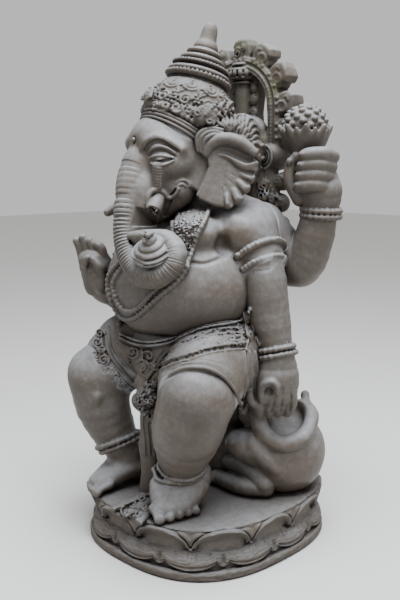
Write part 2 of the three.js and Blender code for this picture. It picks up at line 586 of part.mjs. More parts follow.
// Dressing: the joins leave many thin slivers. Edges are drawn together, least change of surface first,
// until FACE_LIMIT faces are left. The plinth keeps every edge, and no face turns over.
function dressed(cast, limit) {
  const places = [];
  for (let k = 0; k < cast.vertProperties.length; k += 3) {
    places.push(new THREE.Vector3(...cast.vertProperties.slice(k, k + 3)));
  }
  const faces = [];
  for (let k = 0; k < cast.triVerts.length; k += 3) faces.push([...cast.triVerts.slice(k, k + 3)]);
  const around = places.map(() => new Set());
  faces.forEach((face, f) => face.forEach((v) => around[v].add(f)));
  const fixed = places.map((p) => p.z < PLINTH_TOP - 1);
  const normalOf = (a, b, c) => b.clone().sub(a).cross(c.clone().sub(a));

  // Each vertex carries the sum of its faces' squared-distance forms, as ten numbers.
  const forms = places.map(() => new Float64Array(10));
  for (const face of faces) {
    const corners = face.map((v) => places[v]);
    const normal = normalOf(...corners);
    const area = normal.length() / 2;
    if (area < 1e-9) continue;
    normal.normalize();
    const d = -normal.dot(corners[0]);
    const n = [normal.x, normal.y, normal.z, d];
    let slot = 0;
    for (let i = 0; i < 4; i += 1) {
      for (let j = i; j < 4; j += 1) {
        for (const v of face) forms[v][slot] += n[i] * n[j] * area;
        slot += 1;
      }
    }
  }
  const misfit = (q, p) => q[0] * p.x * p.x + 2 * q[1] * p.x * p.y + 2 * q[2] * p.x * p.z + 2 * q[3] * p.x
    + q[4] * p.y * p.y + 2 * q[5] * p.y * p.z + 2 * q[6] * p.y + q[7] * p.z * p.z + 2 * q[8] * p.z + q[9];
  const stamps = new Uint32Array(places.length);
  const heap = [];
  const swap = (i, j) => { [heap[i], heap[j]] = [heap[j], heap[i]]; };
  const push = (item) => {
    let k = heap.push(item) - 1;
    while (k > 0 && heap[(k - 1) >> 1].cost > heap[k].cost) {
      swap(k, (k - 1) >> 1);
      k = (k - 1) >> 1;
    }
  };
  const pop = () => {
    const best = heap[0];
    const last = heap.pop();
    if (heap.length === 0) return best;
    heap[0] = last;
    for (let k = 0; ;) {
      let low = k;
      if (2 * k + 1 < heap.length && heap[2 * k + 1].cost < heap[low].cost) low = 2 * k + 1;
      if (2 * k + 2 < heap.length && heap[2 * k + 2].cost < heap[low].cost) low = 2 * k + 2;
      if (low === k) return best;
      swap(k, low);
      k = low;
    }
  };
  const offer = (u, v) => {
    if (fixed[u] || fixed[v]) return;
    const q = forms[u].map((value, k) => value + forms[v][k]);
    const spots = [places[u], places[v], places[u].clone().lerp(places[v], 0.5)];
    let [spot, cost] = [null, Infinity];
    for (const candidate of spots) {
      const value = misfit(q, candidate);
      if (value < cost) [spot, cost] = [candidate, value];
    }
    cost = Math.max(cost, 0) + EDGE_CARE * places[u].distanceToSquared(places[v]);
    push({ u, v, spot: spot.clone(), cost, stamp: stamps[u] + stamps[v] });
  };
  const neighbours = (v) => {
    const found = new Set();
    for (const f of around[v]) faces[f].forEach((w) => found.add(w));
    found.delete(v);
    return found;
  };
  places.forEach((_, v) => neighbours(v).forEach((w) => { if (v < w) offer(v, w); }));
  let count = faces.length;
  while (count > limit && heap.length > 0) {
    const { u, v, spot, stamp } = pop();
    if (!around[u].size || !around[v].size || stamp !== stamps[u] + stamps[v]) continue;
    const [nearU, nearV] = [neighbours(u), neighbours(v)];
    if (!nearU.has(v)) continue;
    const shared = [...nearU].filter((w) => nearV.has(w));
    if (shared.length !== 2 || shared.some((w) => around[w].size < 4)) continue;
    const turns = (moved) => [...around[moved]].some((f) => {
      const face = faces[f];
      if (face.includes(u) && face.includes(v)) return false;
      const before = normalOf(...face.map((w) => places[w]));
      const after = normalOf(...face.map((w) => (w === moved ? spot : places[w])));
      return after.length() < 1e-3 || after.dot(before) < TURN_LIMIT * after.length() * before.length();
    });
    if (turns(u) || turns(v)) continue;
    for (const f of [...around[v]]) {
      if (faces[f].includes(u)) {
        faces[f].forEach((w) => around[w].delete(f));
        faces[f] = null;
        count -= 1;
      } else {
        faces[f] = faces[f].map((w) => (w === v ? u : w));
        around[u].add(f);
      }
    }
    around[v].clear();
    places[u].copy(spot);
    forms[v].forEach((value, k) => { forms[u][k] += value; });
    const near = neighbours(u);
    stamps[u] += 1;
    stamps[v] += 1;
    near.forEach((w) => offer(u, w));
  }
  const kept = faces.filter(Boolean);
  const order = new Map();
  kept.flat().forEach((v) => { if (!order.has(v)) order.set(v, order.size); });
  const surface = new THREE.BufferGeometry();
  const coordinates = [...order.keys()].flatMap((v) => places[v].toArray());
  surface.setAttribute("position", new THREE.Float32BufferAttribute(coordinates, 3));
  surface.setIndex(kept.flat().map((v) => order.get(v)));
  return surface;
}

const whole = sculpture.reduce((sum, piece) => sum.add(piece));
const geometry = dressed(whole.getMesh(), FACE_LIMIT);
geometry.computeVertexNormals();

const statue = new THREE.Mesh(
  geometry,
  new THREE.MeshStandardMaterial({ color: STONE_COLOUR, roughness: 0.8, metalness: 0, flatShading: true }),
);
statue.name = "ganesha_statue";

const part = new THREE.Group();
part.add(statue);
export default part;
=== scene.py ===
import math

import bpy
import numpy as np
import openvdb
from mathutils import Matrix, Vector


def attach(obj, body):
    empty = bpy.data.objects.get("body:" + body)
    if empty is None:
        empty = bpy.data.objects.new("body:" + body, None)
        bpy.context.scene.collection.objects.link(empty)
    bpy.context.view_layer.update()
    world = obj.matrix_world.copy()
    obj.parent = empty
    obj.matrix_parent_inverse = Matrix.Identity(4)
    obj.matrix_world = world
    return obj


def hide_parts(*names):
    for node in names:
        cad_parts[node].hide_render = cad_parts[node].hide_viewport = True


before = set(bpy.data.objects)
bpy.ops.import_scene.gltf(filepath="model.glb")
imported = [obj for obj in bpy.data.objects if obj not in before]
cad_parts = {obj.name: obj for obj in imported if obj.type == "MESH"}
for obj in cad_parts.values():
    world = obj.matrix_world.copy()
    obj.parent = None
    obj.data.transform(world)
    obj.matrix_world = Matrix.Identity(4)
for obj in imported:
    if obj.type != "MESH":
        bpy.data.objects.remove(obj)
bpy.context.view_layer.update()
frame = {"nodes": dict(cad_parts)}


# Floor, light and camera
# A plain pale floor under soft sky-like light. The camera stands at the photograph's place: level with
# the figure's shoulder, in front of its own left side, about a metre and a half away.
MM = 0.001
EYE = np.array([1099.6, -1099.6, 740.0])
AIM = np.array([0.0, 0.0, 473.0])
FOCAL_PIXELS = 796.0
CENTRE_PIXEL = (207.0, 300.0)
IMAGE = (400, 600)
SENSOR = 36.0

camera_data = bpy.data.cameras.new("camera")
camera_data.sensor_fit = "VERTICAL"
camera_data.sensor_height = SENSOR
camera_data.lens = FOCAL_PIXELS / IMAGE[1] * SENSOR
camera_data.shift_x = -(CENTRE_PIXEL[0] - IMAGE[0] / 2) / IMAGE[1]
camera = bpy.data.objects.new("camera", camera_data)
bpy.context.scene.collection.objects.link(camera)
camera.location = Vector(EYE * MM)
camera.rotation_euler = Vector((AIM - EYE) * MM).to_track_quat("-Z", "Y").to_euler()
bpy.context.scene.camera = camera


def soft_light(name, place, aim, size, power, colour):
    data = bpy.data.lights.new(name, "AREA")
    data.shape = "DISK"
    data.size = size
    data.energy = power
    data.color = colour
    light = bpy.data.objects.new(name, data)
    bpy.context.scene.collection.objects.link(light)
    light.location = place
    light.rotation_euler = (Vector(aim) - Vector(place)).to_track_quat("-Z", "Y").to_euler()


soft_light("sky_above", (0.5, -0.3, 2.7), (0.0, 0.0, 0.5), 1.5, 128.0, (0.9, 0.95, 1.0))
soft_light("sky_right", (2.3, -0.5, 1.9), (0.0, 0.0, 0.6), 1.1, 22.0, (0.92, 0.96, 1.0))

world = bpy.data.worlds.new("pale_surround")
bpy.context.scene.world = world
world.use_nodes = True
world.node_tree.nodes["Background"].inputs["Color"].default_value = (1.0, 1.0, 1.0, 1.0)
world.node_tree.nodes["Background"].inputs["Strength"].default_value = 0.66

FLOOR_HALF = 9
floor_mesh = bpy.data.meshes.new("floor")
floor_corners = [(x * FLOOR_HALF, y * FLOOR_HALF, 0) for x, y in ((-1, -1), (1, -1), (1, 1), (-1, 1))]
floor_mesh.from_pydata(floor_corners, [], [(0, 1, 2, 3)])
floor = bpy.data.objects.new("floor", floor_mesh)
bpy.context.scene.collection.objects.link(floor)
floor_paint = bpy.data.materials.new("floor_paint")
floor_paint.use_nodes = True
floor_shader = floor_paint.node_tree.nodes["Principled BSDF"]
floor_shader.inputs["Base Color"].default_value = (0.74, 0.73, 0.71, 1.0)
floor_shader.inputs["Roughness"].default_value = 0.9
floor_mesh.materials.append(floor_paint)


# Plinth
# A rounded oblong foot of the same stone: a rough slab, a tier of petals hanging over it, a narrow waist,
# and a tier of hollow-faced petals that rise to the deck. It is one with everything that stands on it.
def node(tree, kind, inputs=None, **settings):
    """A shader node whose inputs are set to a constant or joined to another node's output."""
    made = tree.nodes.new("ShaderNode" + kind)
    for name, value in settings.items():
        setattr(made, name, value)
    for name, value in (inputs or {}).items():
        if isinstance(value, bpy.types.NodeSocket):
            tree.links.new(value, made.inputs[name])
        else:
            made.inputs[name].default_value = value
    return made


def spread(tree, value, start, end, low=0.0, high=1.0, **settings):
    """A value that goes from low to high while the given one goes from start to end."""
    inputs = {"Value": value, "From Min": start, "From Max": end, "To Min": low, "To Max": high}
    return node(tree, "MapRange", inputs, **settings).outputs["Result"]


def noise(tree, scale, detail, roughness=0.5):
    inputs = {"Vector": node(tree, "TexCoord").outputs["Object"], "Scale": scale, "Detail": detail,
              "Roughness": roughness}
    return node(tree, "TexNoise", inputs).outputs["Fac"]


def product(tree, first, second, **settings):
    return node(tree, "Math", {0: first, 1: second}, operation="MULTIPLY", **settings).outputs[0]


def new_group(name, inputs, outputs=("Mask",)):
    """An empty shared effect, the outputs of its entry and the inputs of its exit."""
    tree = bpy.data.node_groups.new(name, "ShaderNodeTree")
    for label, start in inputs.items():
        socket = tree.interface.new_socket(name=label, in_out="INPUT", socket_type="NodeSocketFloat")
        socket.default_value = start
    for label in outputs:
        tree.interface.new_socket(name=label, in_out="OUTPUT", socket_type="NodeSocketFloat")
    return tree, tree.nodes.new("NodeGroupInput").outputs, tree.nodes.new("NodeGroupOutput").inputs


def hollow_dirt_and_shade_group():
    """Darkening where the stone is closed in: grime and painted shade, broken up by a coarse and a fine
    noise.
    """
    tree, given, result = new_group("hollow_dirt_and_shade", {"Reach": 0.02, "Cover": 1.0, "Patch Scale": 18.0})
    shade = node(tree, "AmbientOcclusion", {"Distance": given["Reach"]}, samples=8).outputs["AO"]
    closed = spread(tree, shade, 0.92, 0.35, interpolation_type="SMOOTHSTEP")
    uneven = spread(tree, noise(tree, given["Patch Scale"], 6.0, 0.65), 0.3, 0.7, 0.55, 1.35)
    mask = product(tree, product(tree, closed, uneven), given["Cover"], use_clamp=True)
    tree.links.new(mask, result["Mask"])
    return tree


def sky_highlight_and_shade_group():
    """How far the stone faces up or down, in patches: the mask for painted sky highlight and painted shade.
    """
    tree, given, result = new_group("sky_highlight_and_shade", {"Start": 0.1, "End": 0.9, "Patch Scale": 9.0})
    surface = node(tree, "NewGeometry").outputs["Normal"]
    upward = node(tree, "SeparateXYZ", {0: surface}).outputs["Z"]
    rise = spread(tree, upward, given["Start"], given["End"], interpolation_type="SMOOTHSTEP")
    uneven = spread(tree, noise(tree, given["Patch Scale"], 5.0), 0.3, 0.7, 0.35, 1.0)
    tree.links.new(product(tree, rise, uneven), result["Mask"])
    return tree


def stone_grain_group():
    """The cast stone's own skin: tonal drift, fine grain and small open pits."""
    scales = {"Grain Scale": 420.0, "Pit Scale": 130.0, "Drift Scale": 7.0}
    tree, given, result = new_group("stone_grain", scales, ("Drift", "Mottle", "Pits", "Height"))
    drift = noise(tree, given["Drift Scale"], 8.0, 0.6)
    grain = noise(tree, given["Grain Scale"], 5.0, 0.7)
    place = node(tree, "TexCoord").outputs["Object"]
    holes = node(tree, "TexVoronoi", {"Vector": place, "Scale": given["Pit Scale"], "Randomness": 1.0})
    pits = product(tree, spread(tree, holes.outputs["Distance"], 0.0, 0.2, 1.0, 0.0),
                   spread(tree, drift, 0.5, 0.66))
    dig = node(tree, "Math", {0: pits, 1: -1.4, 2: grain}, operation="MULTIPLY_ADD").outputs[0]
    mottle = noise(tree, 95.0, 7.0, 0.72)
    for label, value in (("Drift", drift), ("Mottle", mottle), ("Pits", pits), ("Height", dig)):
        tree.links.new(value, result[label])
    return tree


def rubbed_and_lit_edge_group():
    """Thin places, edges and raised beads, found by looking inward: rubbed pale and painted highlight."""
    tree, given, result = new_group("rubbed_and_lit_edge", {"Reach": 0.004, "Cover": 0.7, "Patch Scale": 30.0})
    thin = node(tree, "AmbientOcclusion", {"Distance": given["Reach"]}, inside=True, samples=8).outputs["AO"]
    edge = spread(tree, thin, 0.78, 0.3, interpolation_type="SMOOTHSTEP")
    uneven = spread(tree, noise(tree, given["Patch Scale"], 4.0), 0.35, 0.6)
    mask = product(tree, product(tree, edge, uneven), given["Cover"], use_clamp=True)
    tree.links.new(mask, result["Mask"])
    return tree


HOLLOW_DIRT_AND_SHADE = hollow_dirt_and_shade_group()
RUBBED_AND_LIT_EDGE = rubbed_and_lit_edge_group()
SKY_HIGHLIGHT_AND_SHADE = sky_highlight_and_shade_group()
STONE_GRAIN = stone_grain_group()


def from_group(tree, group, **values):
    """The mask that a shared group gives for these values."""
    inputs = {name.replace("_", " "): value for name, value in values.items()}
    return node(tree, "Group", inputs, node_tree=group).outputs["Mask"]


def mixed(tree, mask, low, high):
    """A colour that goes from low to high by mask; low and high are colours or outputs."""
    low, high = ((*value, 1.0) if isinstance(value, tuple) else value for value in (low, high))
    return node(tree, "Mix", {0: mask, 6: low, 7: high}, data_type="RGBA").outputs[2]


def weathered_stone(name, warm, cool, pale, sky_highlight_span, dirt_and_shade, reach, cover, bump, roughness, moss=None):
    """Grey cast stone, warm and cool drifting; painted highlight on top, painted shade below and in hollows.
    """
    material = bpy.data.materials.new(name)
    material.use_nodes = True
    tree = material.node_tree
    shader = tree.nodes["Principled BSDF"]
    grain = node(tree, "Group", None, node_tree=STONE_GRAIN).outputs
    # Faces to the sky are painted paler and bluer as a sky highlight; faces turned down get painted shade.
    sky_highlight = from_group(tree, SKY_HIGHLIGHT_AND_SHADE, Start=sky_highlight_span[0], End=sky_highlight_span[1])
    shaded = from_group(tree, SKY_HIGHLIGHT_AND_SHADE, Start=0.3, End=-0.55, Patch_Scale=14.0)
    # Hollows get grime and painted shade, close in and wider; thin edges get wear and a painted highlight.
    near = from_group(tree, HOLLOW_DIRT_AND_SHADE, Reach=reach, Cover=cover, Patch_Scale=26.0)
    wide = from_group(tree, HOLLOW_DIRT_AND_SHADE, Reach=reach * 5, Cover=cover * 0.62, Patch_Scale=9.0)
    worn = from_group(tree, RUBBED_AND_LIT_EDGE, Reach=0.004, Cover=0.75, Patch_Scale=30.0)
    coats = [(sky_highlight, pale), (spread(tree, grain["Mottle"], 0.5, 0.28, 0.0, 0.18), pale),
             (spread(tree, grain["Mottle"], 0.44, 0.7, 0.0, 0.32), dirt_and_shade[0]), (shaded, dirt_and_shade[0])]
    if moss:
        coats.append((spread(tree, noise(tree, 26.0, 6.0), 0.5, 0.68, 0.0, moss[1]), moss[0]))
    coats += [(wide, dirt_and_shade[0]), (worn, pale), (near, dirt_and_shade[1]), (grain["Pits"], dirt_and_shade[1])]
    colour = mixed(tree, spread(tree, grain["Drift"], 0.34, 0.66), warm, cool)
    for mask, coat in coats:
        colour = mixed(tree, mask, colour, coat)
    relief = node(tree, "Bump", {"Strength": bump, "Distance": 0.0012, "Height": grain["Height"]})
    tree.links.new(colour, shader.inputs["Base Color"])
    tree.links.new(spread(tree, grain["Drift"], 0.3, 0.7, *roughness), shader.inputs["Roughness"])
    tree.links.new(relief.outputs["Normal"], shader.inputs["Normal"])
    shader.inputs["Specular IOR Level"].default_value = 0.3
    return material


def piece_from(name, points, faces, corners, material):
    """A smooth-shaded piece of the statue from points in millimetres and faces of 3 or 4 corners."""
    mesh = bpy.data.meshes.new(name)
    mesh.vertices.add(len(points))
    mesh.vertices.foreach_set("co", (np.asarray(points, np.float32) * MM).ravel())
    mesh.loops.add(len(faces) * corners)
    mesh.loops.foreach_set("vertex_index", np.asarray(faces, np.int32).ravel())
    mesh.polygons.add(len(faces))
    mesh.polygons.foreach_set("loop_start", np.arange(0, len(faces) * corners, corners, dtype=np.int32))
    mesh.update(calc_edges=True)
    mesh.polygons.foreach_set("use_smooth", np.ones(len(faces), bool))
    mesh.materials.append(material)
    piece = bpy.data.objects.new(name, mesh)
    bpy.context.scene.collection.objects.link(piece)
    return piece


def belongs(piece):
    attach(piece, "root")
    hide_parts("ganesha_statue")


# Dark colours for grime and for painted shade in hollows, pits and under downward faces.
DIRT_AND_SHADE = ((0.050, 0.038, 0.029), (0.012, 0.009, 0.008))
# Its pale colour is a painted highlight on upward faces and edges; the dark ones paint shade with grime.
plinth_stone = weathered_stone(
    "plinth_stone", (0.108, 0.082, 0.062), (0.118, 0.104, 0.092), (0.235, 0.232, 0.235), (0.3, 1.0),
    DIRT_AND_SHADE, 0.014, 1.0, 0.6, (0.55, 0.8))

PLINTH_HALF = (214.0, 228.0)
PLINTH_SQUARENESS = 2.6
DECK = 98.0
PETALS = 12
PETAL_TURN = math.radians(-97.5)
COLUMNS_PER_PETAL = 50

columns = PETALS * COLUMNS_PER_PETAL
turn = np.arange(columns) / columns
angle = turn * 2 * np.pi + PETAL_TURN
plinth_reach = ((np.abs(np.cos(angle)) / PLINTH_HALF[0]) ** PLINTH_SQUARENESS
                + (np.abs(np.sin(angle)) / PLINTH_HALF[1]) ** PLINTH_SQUARENESS) ** (-1 / PLINTH_SQUARENESS)
rng = np.random.default_rng(7)


def across_petal(shift):
    return ((turn * PETALS + shift + 0.5) % 1 - 0.5) * 2


def arch(across, clearance, power):
    return np.maximum(1 - np.abs(across * clearance) ** 2, 0) ** power


upper_across, lower_across = across_petal(0.0), across_petal(0.5)
rng.standard_normal(PETALS)  # Passed over, so that the wear below keeps its draws.
lower_arch = arch(lower_across, 1.08, 0.5)
upper_arch = arch(upper_across, 1.06, 0.5)
inner_arch = arch(upper_across, 1.2, 0.5)
lower_leaf = arch(upper_across, 3.4, 0.55)
upper_leaf = arch(lower_across, 2.4, 0.9)
parting = np.clip((np.abs(lower_across) - 0.84) / 0.16, 0, 1) ** 1.5
small_tip = np.clip(1 - (upper_across * 4.2) ** 2, 0, 1)


def key(scale, height):
    return tuple(np.broadcast_to(value, (columns,)).astype(float) for value in (scale, height))


def arched(tip, notch, rise):
    return key(notch[0] + (tip[0] - notch[0]) * rise, notch[1] + (tip[1] - notch[1]) * rise)


def lower_of(first, second):
    """The one of two edges that reaches further down, column by column."""
    pick = second[1] < first[1]
    return (np.where(pick, second[0], first[0]), np.where(pick, second[1], first[1]))


lower_under = lower_of(arched((0.966, 21), (0.93, 43), lower_arch),
                       arched((0.955, 25), (0.93, 44), lower_leaf))
lower_rim = lower_of(arched((0.992, 22), (0.938, 44), lower_arch),
                     arched((0.972, 26), (0.938, 45), lower_leaf))
upper_face = arched((0.945, 83), (0.925, 57), inner_arch)
upper_inner = arched((0.962, 86), (0.93, 57.5), inner_arch)
upper_crest = arched((0.992, 91), (0.946, 56), upper_arch)
upper_edge = arched((0.999, 93.5), (0.95, 58), upper_arch)
upper_back = arched((0.980, 96), (0.930, 61), upper_arch)
deck_edge = key(0.962, 94)

steps = [
    (key(0.03, 0), key(0.985, 0), 5, 0, 0), (key(0.985, 0), key(1.0, 3), 2, 0, 0),
    (key(1.0, 3), key(1.0, 13), 5, 0, 0),
    (key(1.0, 13), key(0.985, 18), 3, 0.003, 0), (key(0.985, 18), key(0.945, 20), 4, 0, 0),
    (key(0.945, 20), lower_under, 4, 0, 0), (lower_under, lower_rim, 3, 0, -1.0),
    (lower_rim, key(0.94, 50), 22, 0.018, 0), (key(0.94, 50), key(0.918, 54), 3, 0, 0),
    (key(0.918, 54), upper_face, 9, -0.018, 0), (upper_face, upper_inner, 3, 0.002, 0),
    (upper_inner, upper_crest, 4, 0.005, 0), (upper_crest, upper_edge, 3, 0.003, 0),
    (upper_edge, upper_back, 3, 0, 0.6), (upper_back, deck_edge, 8, 0.0, 0),
    (deck_edge, key(0.95, DECK - 1), 4, 0.004, 0), (key(0.95, DECK - 1), key(0.925, DECK), 2, 0, 0),
    (key(0.925, DECK), key(0.03, DECK), 14, 0, 0),
]


def ring_noise(cells, rows):
    """Smooth noise round the plinth: cells waves round it and rows of them up it."""
    lattice = rng.standard_normal((rows + 1, cells))
    place = turn * cells
    low = place.astype(int) % cells
    part = place - place.astype(int)
    part = part * part * (3 - 2 * part)
    return lattice[:, low] * (1 - part) + lattice[:, (low + 1) % cells] * part


rings = []
for first, second, count, bulge, lift in steps:
    for k in range(count):
        share = k / count
        hump = math.sin(math.pi * share)
        scale = first[0] + (second[0] - first[0]) * share + bulge * hump
        height = first[1] + (second[1] - first[1]) * share + lift * hump
        if first is lower_rim:
            scored = np.maximum(np.sin(lower_across * 28 + 3 * np.sin(lower_across * 9)), 0) ** 2
            scale = scale - 0.008 * scored * (np.abs(lower_across) < 0.6) * np.clip((share - 0.4) * 4, 0, 1)
            scale = scale - 0.008 * (np.abs(lower_across) < 0.92) * np.exp(-((share - 0.16) / 0.06) ** 2)
            scale = scale - 0.030 * parting * math.sin(math.pi * min(share * 1.15, 1)) ** 0.7
            bulged = math.sin(math.pi * min(share * 2, 1))
            scale = scale + 0.020 * small_tip * np.clip(0.6 - share, 0, 1) * bulged
        if first is upper_back:
            scale = scale - 0.010 * hump + 0.036 * upper_leaf * math.sin(math.pi * min(share * 1.2, 1)) ** 0.8
        rings.append((scale, height))
rings.append((key(0.03, DECK)[0], key(0.03, DECK)[1]))
ring_scale = np.array([r[0] for r in rings])
ring_height = np.array([r[1] for r in rings])
coarse, fine = ring_noise(26, len(rings)), ring_noise(150, len(rings))
kernel = np.array([1, 2, 3, 2, 1]) / 9
blurred = np.apply_along_axis(lambda v: np.convolve(v, kernel, "same"), 0, coarse[: len(rings)])
coarse, fine = coarse[: len(rings)], fine[: len(rings)]
rough = 0.0022 * blurred + 0.0011 * fine
edge_share = np.clip((ring_scale - 0.5) / 0.4, 0, 1)
side = (ring_height > 0.5) & (ring_height < DECK - 0.5)
ring_scale = ring_scale + rough * edge_share * side - 0.0012 * side
ring_height = ring_height + np.where(side, 0.5 * fine, 0.28 * coarse * (ring_height > 1))
ring_x = ring_scale * plinth_reach * np.cos(angle)
ring_y = ring_scale * plinth_reach * np.sin(angle)
points = np.stack([ring_x, ring_y, ring_height], -1).reshape(-1, 3)
row_count = len(rings)
start = np.arange(row_count - 1)[:, None] * columns + np.arange(columns)[None]
after = np.arange(row_count - 1)[:, None] * columns + (np.arange(columns)[None] + 1) % columns
quads = np.stack([start, after, after + columns, start + columns], -1).reshape(-1, 4)
triangles = np.concatenate([quads[:, [0, 1, 2]], quads[:, [0, 2, 3]]])
points = np.concatenate([points, [[0, 0, 0], [0, 0, DECK]]])
first_ring = np.arange(columns)
last_ring = first_ring + (row_count - 1) * columns
below = np.stack([np.full(columns, len(points) - 2), np.roll(first_ring, -1), first_ring], -1)
above = np.stack([np.full(columns, len(points) - 1), last_ring, np.roll(last_ring, -1)], -1)
triangles = np.concatenate([triangles, below, above])
belongs(piece_from("lotus_plinth", points, triangles, 3, plinth_stone))


# Crouching mount
# The animal under the figure's left hand: a rounded haunch rolled into a dish, a folded hind leg with
# its foot, and a tail along the deck. It is modelled like clay and then set in stone.
FAR = 60.0
NEAREST = 1000.0
REACH = 1100.0
STRIDE = 0.8


def unit(way):
    way = np.array(way, float)
    return way / np.linalg.norm(way)


def units(ways):
    return ways / np.linalg.norm(ways, axis=1, keepdims=True)


def sight_lines(pixels):
    """Unit directions from the camera through places in the picture."""
    ahead = unit(AIM - EYE)
    right = np.array([math.sqrt(0.5), math.sqrt(0.5), 0.0])
    up = np.cross(right, ahead)
    pixels = np.asarray(pixels, float)
    return units(ahead * FOCAL_PIXELS + right * (pixels[:, :1] - CENTRE_PIXEL[0])
                 - up * (pixels[:, 1:2] - CENTRE_PIXEL[1]))


class Clay:
    """A block of clay held as distances to its surface in millimetres, below zero inside."""

    def __init__(self, low, high, cell):
        self.low = np.array(low, float)
        self.cell = cell
        size = np.ceil((np.array(high) - self.low) / cell).astype(int) + 1
        self.depth = np.full(size, FAR, np.float32)

    def window(self, low, high):
        """The part of the block between low and high, and the coordinates along its three edges."""
        cuts, grids = [], []
        for k in range(3):
            first = max(int((low[k] - self.low[k]) / self.cell), 0)
            last = min(int((high[k] - self.low[k]) / self.cell) + 2, self.depth.shape[k])
            cuts.append(slice(first, max(last, first)))
            line = (self.low[k] + self.cell * np.arange(first, max(last, first))).astype(np.float32)
            grids.append(line.reshape([-1 if axis == k else 1 for axis in range(3)]))
        return tuple(cuts), grids

    def put(self, cut, shape, blend, cutting=False):
        """Joins a shape to the clay, or cuts it out, with a seam as soft as blend."""
        sign = -1 if cutting else 1
        field = sign * self.depth[cut]
        near = np.maximum(blend - np.abs(field - shape), 0)
        self.depth[cut] = sign * (np.minimum(field, shape) - near * near * (0.25 / blend))

    def at(self, places):
        """The field at places of any shape ending in 3."""
        spot = (np.asarray(places, float) - self.low) / self.cell
        inside = np.all((spot > 0) & (spot < np.array(self.depth.shape) - 1.001), axis=-1)
        spot = np.clip(spot, 0, np.array(self.depth.shape) - 1.001)
        base = spot.astype(int)
        part = spot - base
        total = 0.0
        for corner in range(8):
            step = np.array([corner & 1, corner >> 1 & 1, corner >> 2 & 1])
            weight = np.prod(np.where(step, part, 1 - part), axis=-1)
            total = total + weight * self.depth[tuple(np.moveaxis(base + step, -1, 0))]
        return np.where(inside, total, FAR)

    def first_hit(self, starts, ways, reach, leaving=False):
        """Where rays from starts along ways first enter, or leave, the clay. Rays that miss are left out."""
        marks = np.arange(0, reach, self.cell * STRIDE)
        spots = starts[:, None] + ways[:, None] * marks[None, :, None]
        values = -self.at(spots) if leaving else self.at(spots)
        entering = (values[:, :-1] > 0) & (values[:, 1:] <= 0)
        hit = entering.argmax(1)
        rows = np.arange(len(starts))
        before, beyond = values[rows, hit], values[rows, hit + 1]
        share = before / np.where(before == beyond, 1, before - beyond)
        found = starts + ways * ((hit + share) * self.cell * STRIDE)[:, None]
        return found[entering.any(1)]

    def seen(self, pixels):
        """The clay's surface behind places in the picture, as the camera sees it."""
        ways = sight_lines(pixels)
        return self.first_hit(EYE + ways * NEAREST, ways, REACH)

    def skin(self, places, way, reach=60.0):
        """The surface met from places, starting reach before them along way."""
        places = np.asarray(places, float)
        ways = np.broadcast_to(unit(way), places.shape)
        return self.first_hit(places - ways * reach, ways, 2 * reach)

    def wrap(self, places, centre, reach=50.0):
        """The surface met from places, looking from outside toward a centre point for each place."""
        ways = units(centre - places)
        return self.first_hit(places - ways * reach, ways, 2 * reach)

    def exits(self, centre, places, reach=75.0):
        """Where rays from a centre inside the clay toward places come out of it."""
        ways = units(np.asarray(places, float) - centre)
        return self.first_hit(np.broadcast_to(centre, ways.shape), ways, reach, leaving=True)

    def slice_off(self, at, way, low, high, blend=2.0):
        """Cuts away what lies beyond a plane, inside a box only."""
        way = unit(way)
        cut, (x, y, z) = self.window(low, high)
        beyond = (x - at[0]) * way[0] + (y - at[1]) * way[1] + (z - at[2]) * way[2]
        self.put(cut, -beyond.astype(np.float32), blend, cutting=True)

    def lifted(self, places, height):
        """Places on the surface moved out from it by height."""
        places = np.asarray(places, float)
        step = self.cell * 1.5
        slope = np.stack([self.at(places + np.eye(3)[k] * step) - self.at(places - np.eye(3)[k] * step)
                          for k in range(3)], -1)
        slope /= np.linalg.norm(slope, axis=1, keepdims=True) + 1e-9
        return places + slope * height

    def ripple(self, size, amount, seed):
        """Uneven hand work: smooth noise of the given size and height over the whole surface."""
        noise = np.random.default_rng(seed).standard_normal(
            [int(n * self.cell / size) + 3 for n in self.depth.shape]).astype(np.float32)
        for axis in range(3):
            place = np.arange(self.depth.shape[axis]) * self.cell / size
            low = place.astype(int)
            part = (place - low).astype(np.float32)
            part = (part * part * (3 - 2 * part)).reshape([-1 if k == axis else 1 for k in range(3)])
            noise = np.take(noise, low, axis) * (1 - part) + np.take(noise, low + 1, axis) * part
        self.depth += amount * noise

    def smooth(self):
        """One pass of a small blur, which rounds edges as a wet brush does."""
        for axis in range(3):
            field = np.moveaxis(self.depth, axis, 0)
            field[1:-1] = 0.5 * field[1:-1] + 0.25 * (field[:-2] + field[2:])


def rotation(turn):
    x, y, z = np.radians(turn)
    about_x = np.array([[1, 0, 0], [0, math.cos(x), -math.sin(x)], [0, math.sin(x), math.cos(x)]])
    about_y = np.array([[math.cos(y), 0, math.sin(y)], [0, 1, 0], [-math.sin(y), 0, math.cos(y)]])
    about_z = np.array([[math.cos(z), -math.sin(z), 0], [math.sin(z), math.cos(z), 0], [0, 0, 1]])
    return about_z @ about_y @ about_x


WORLD = (np.eye(3), np.zeros(3))


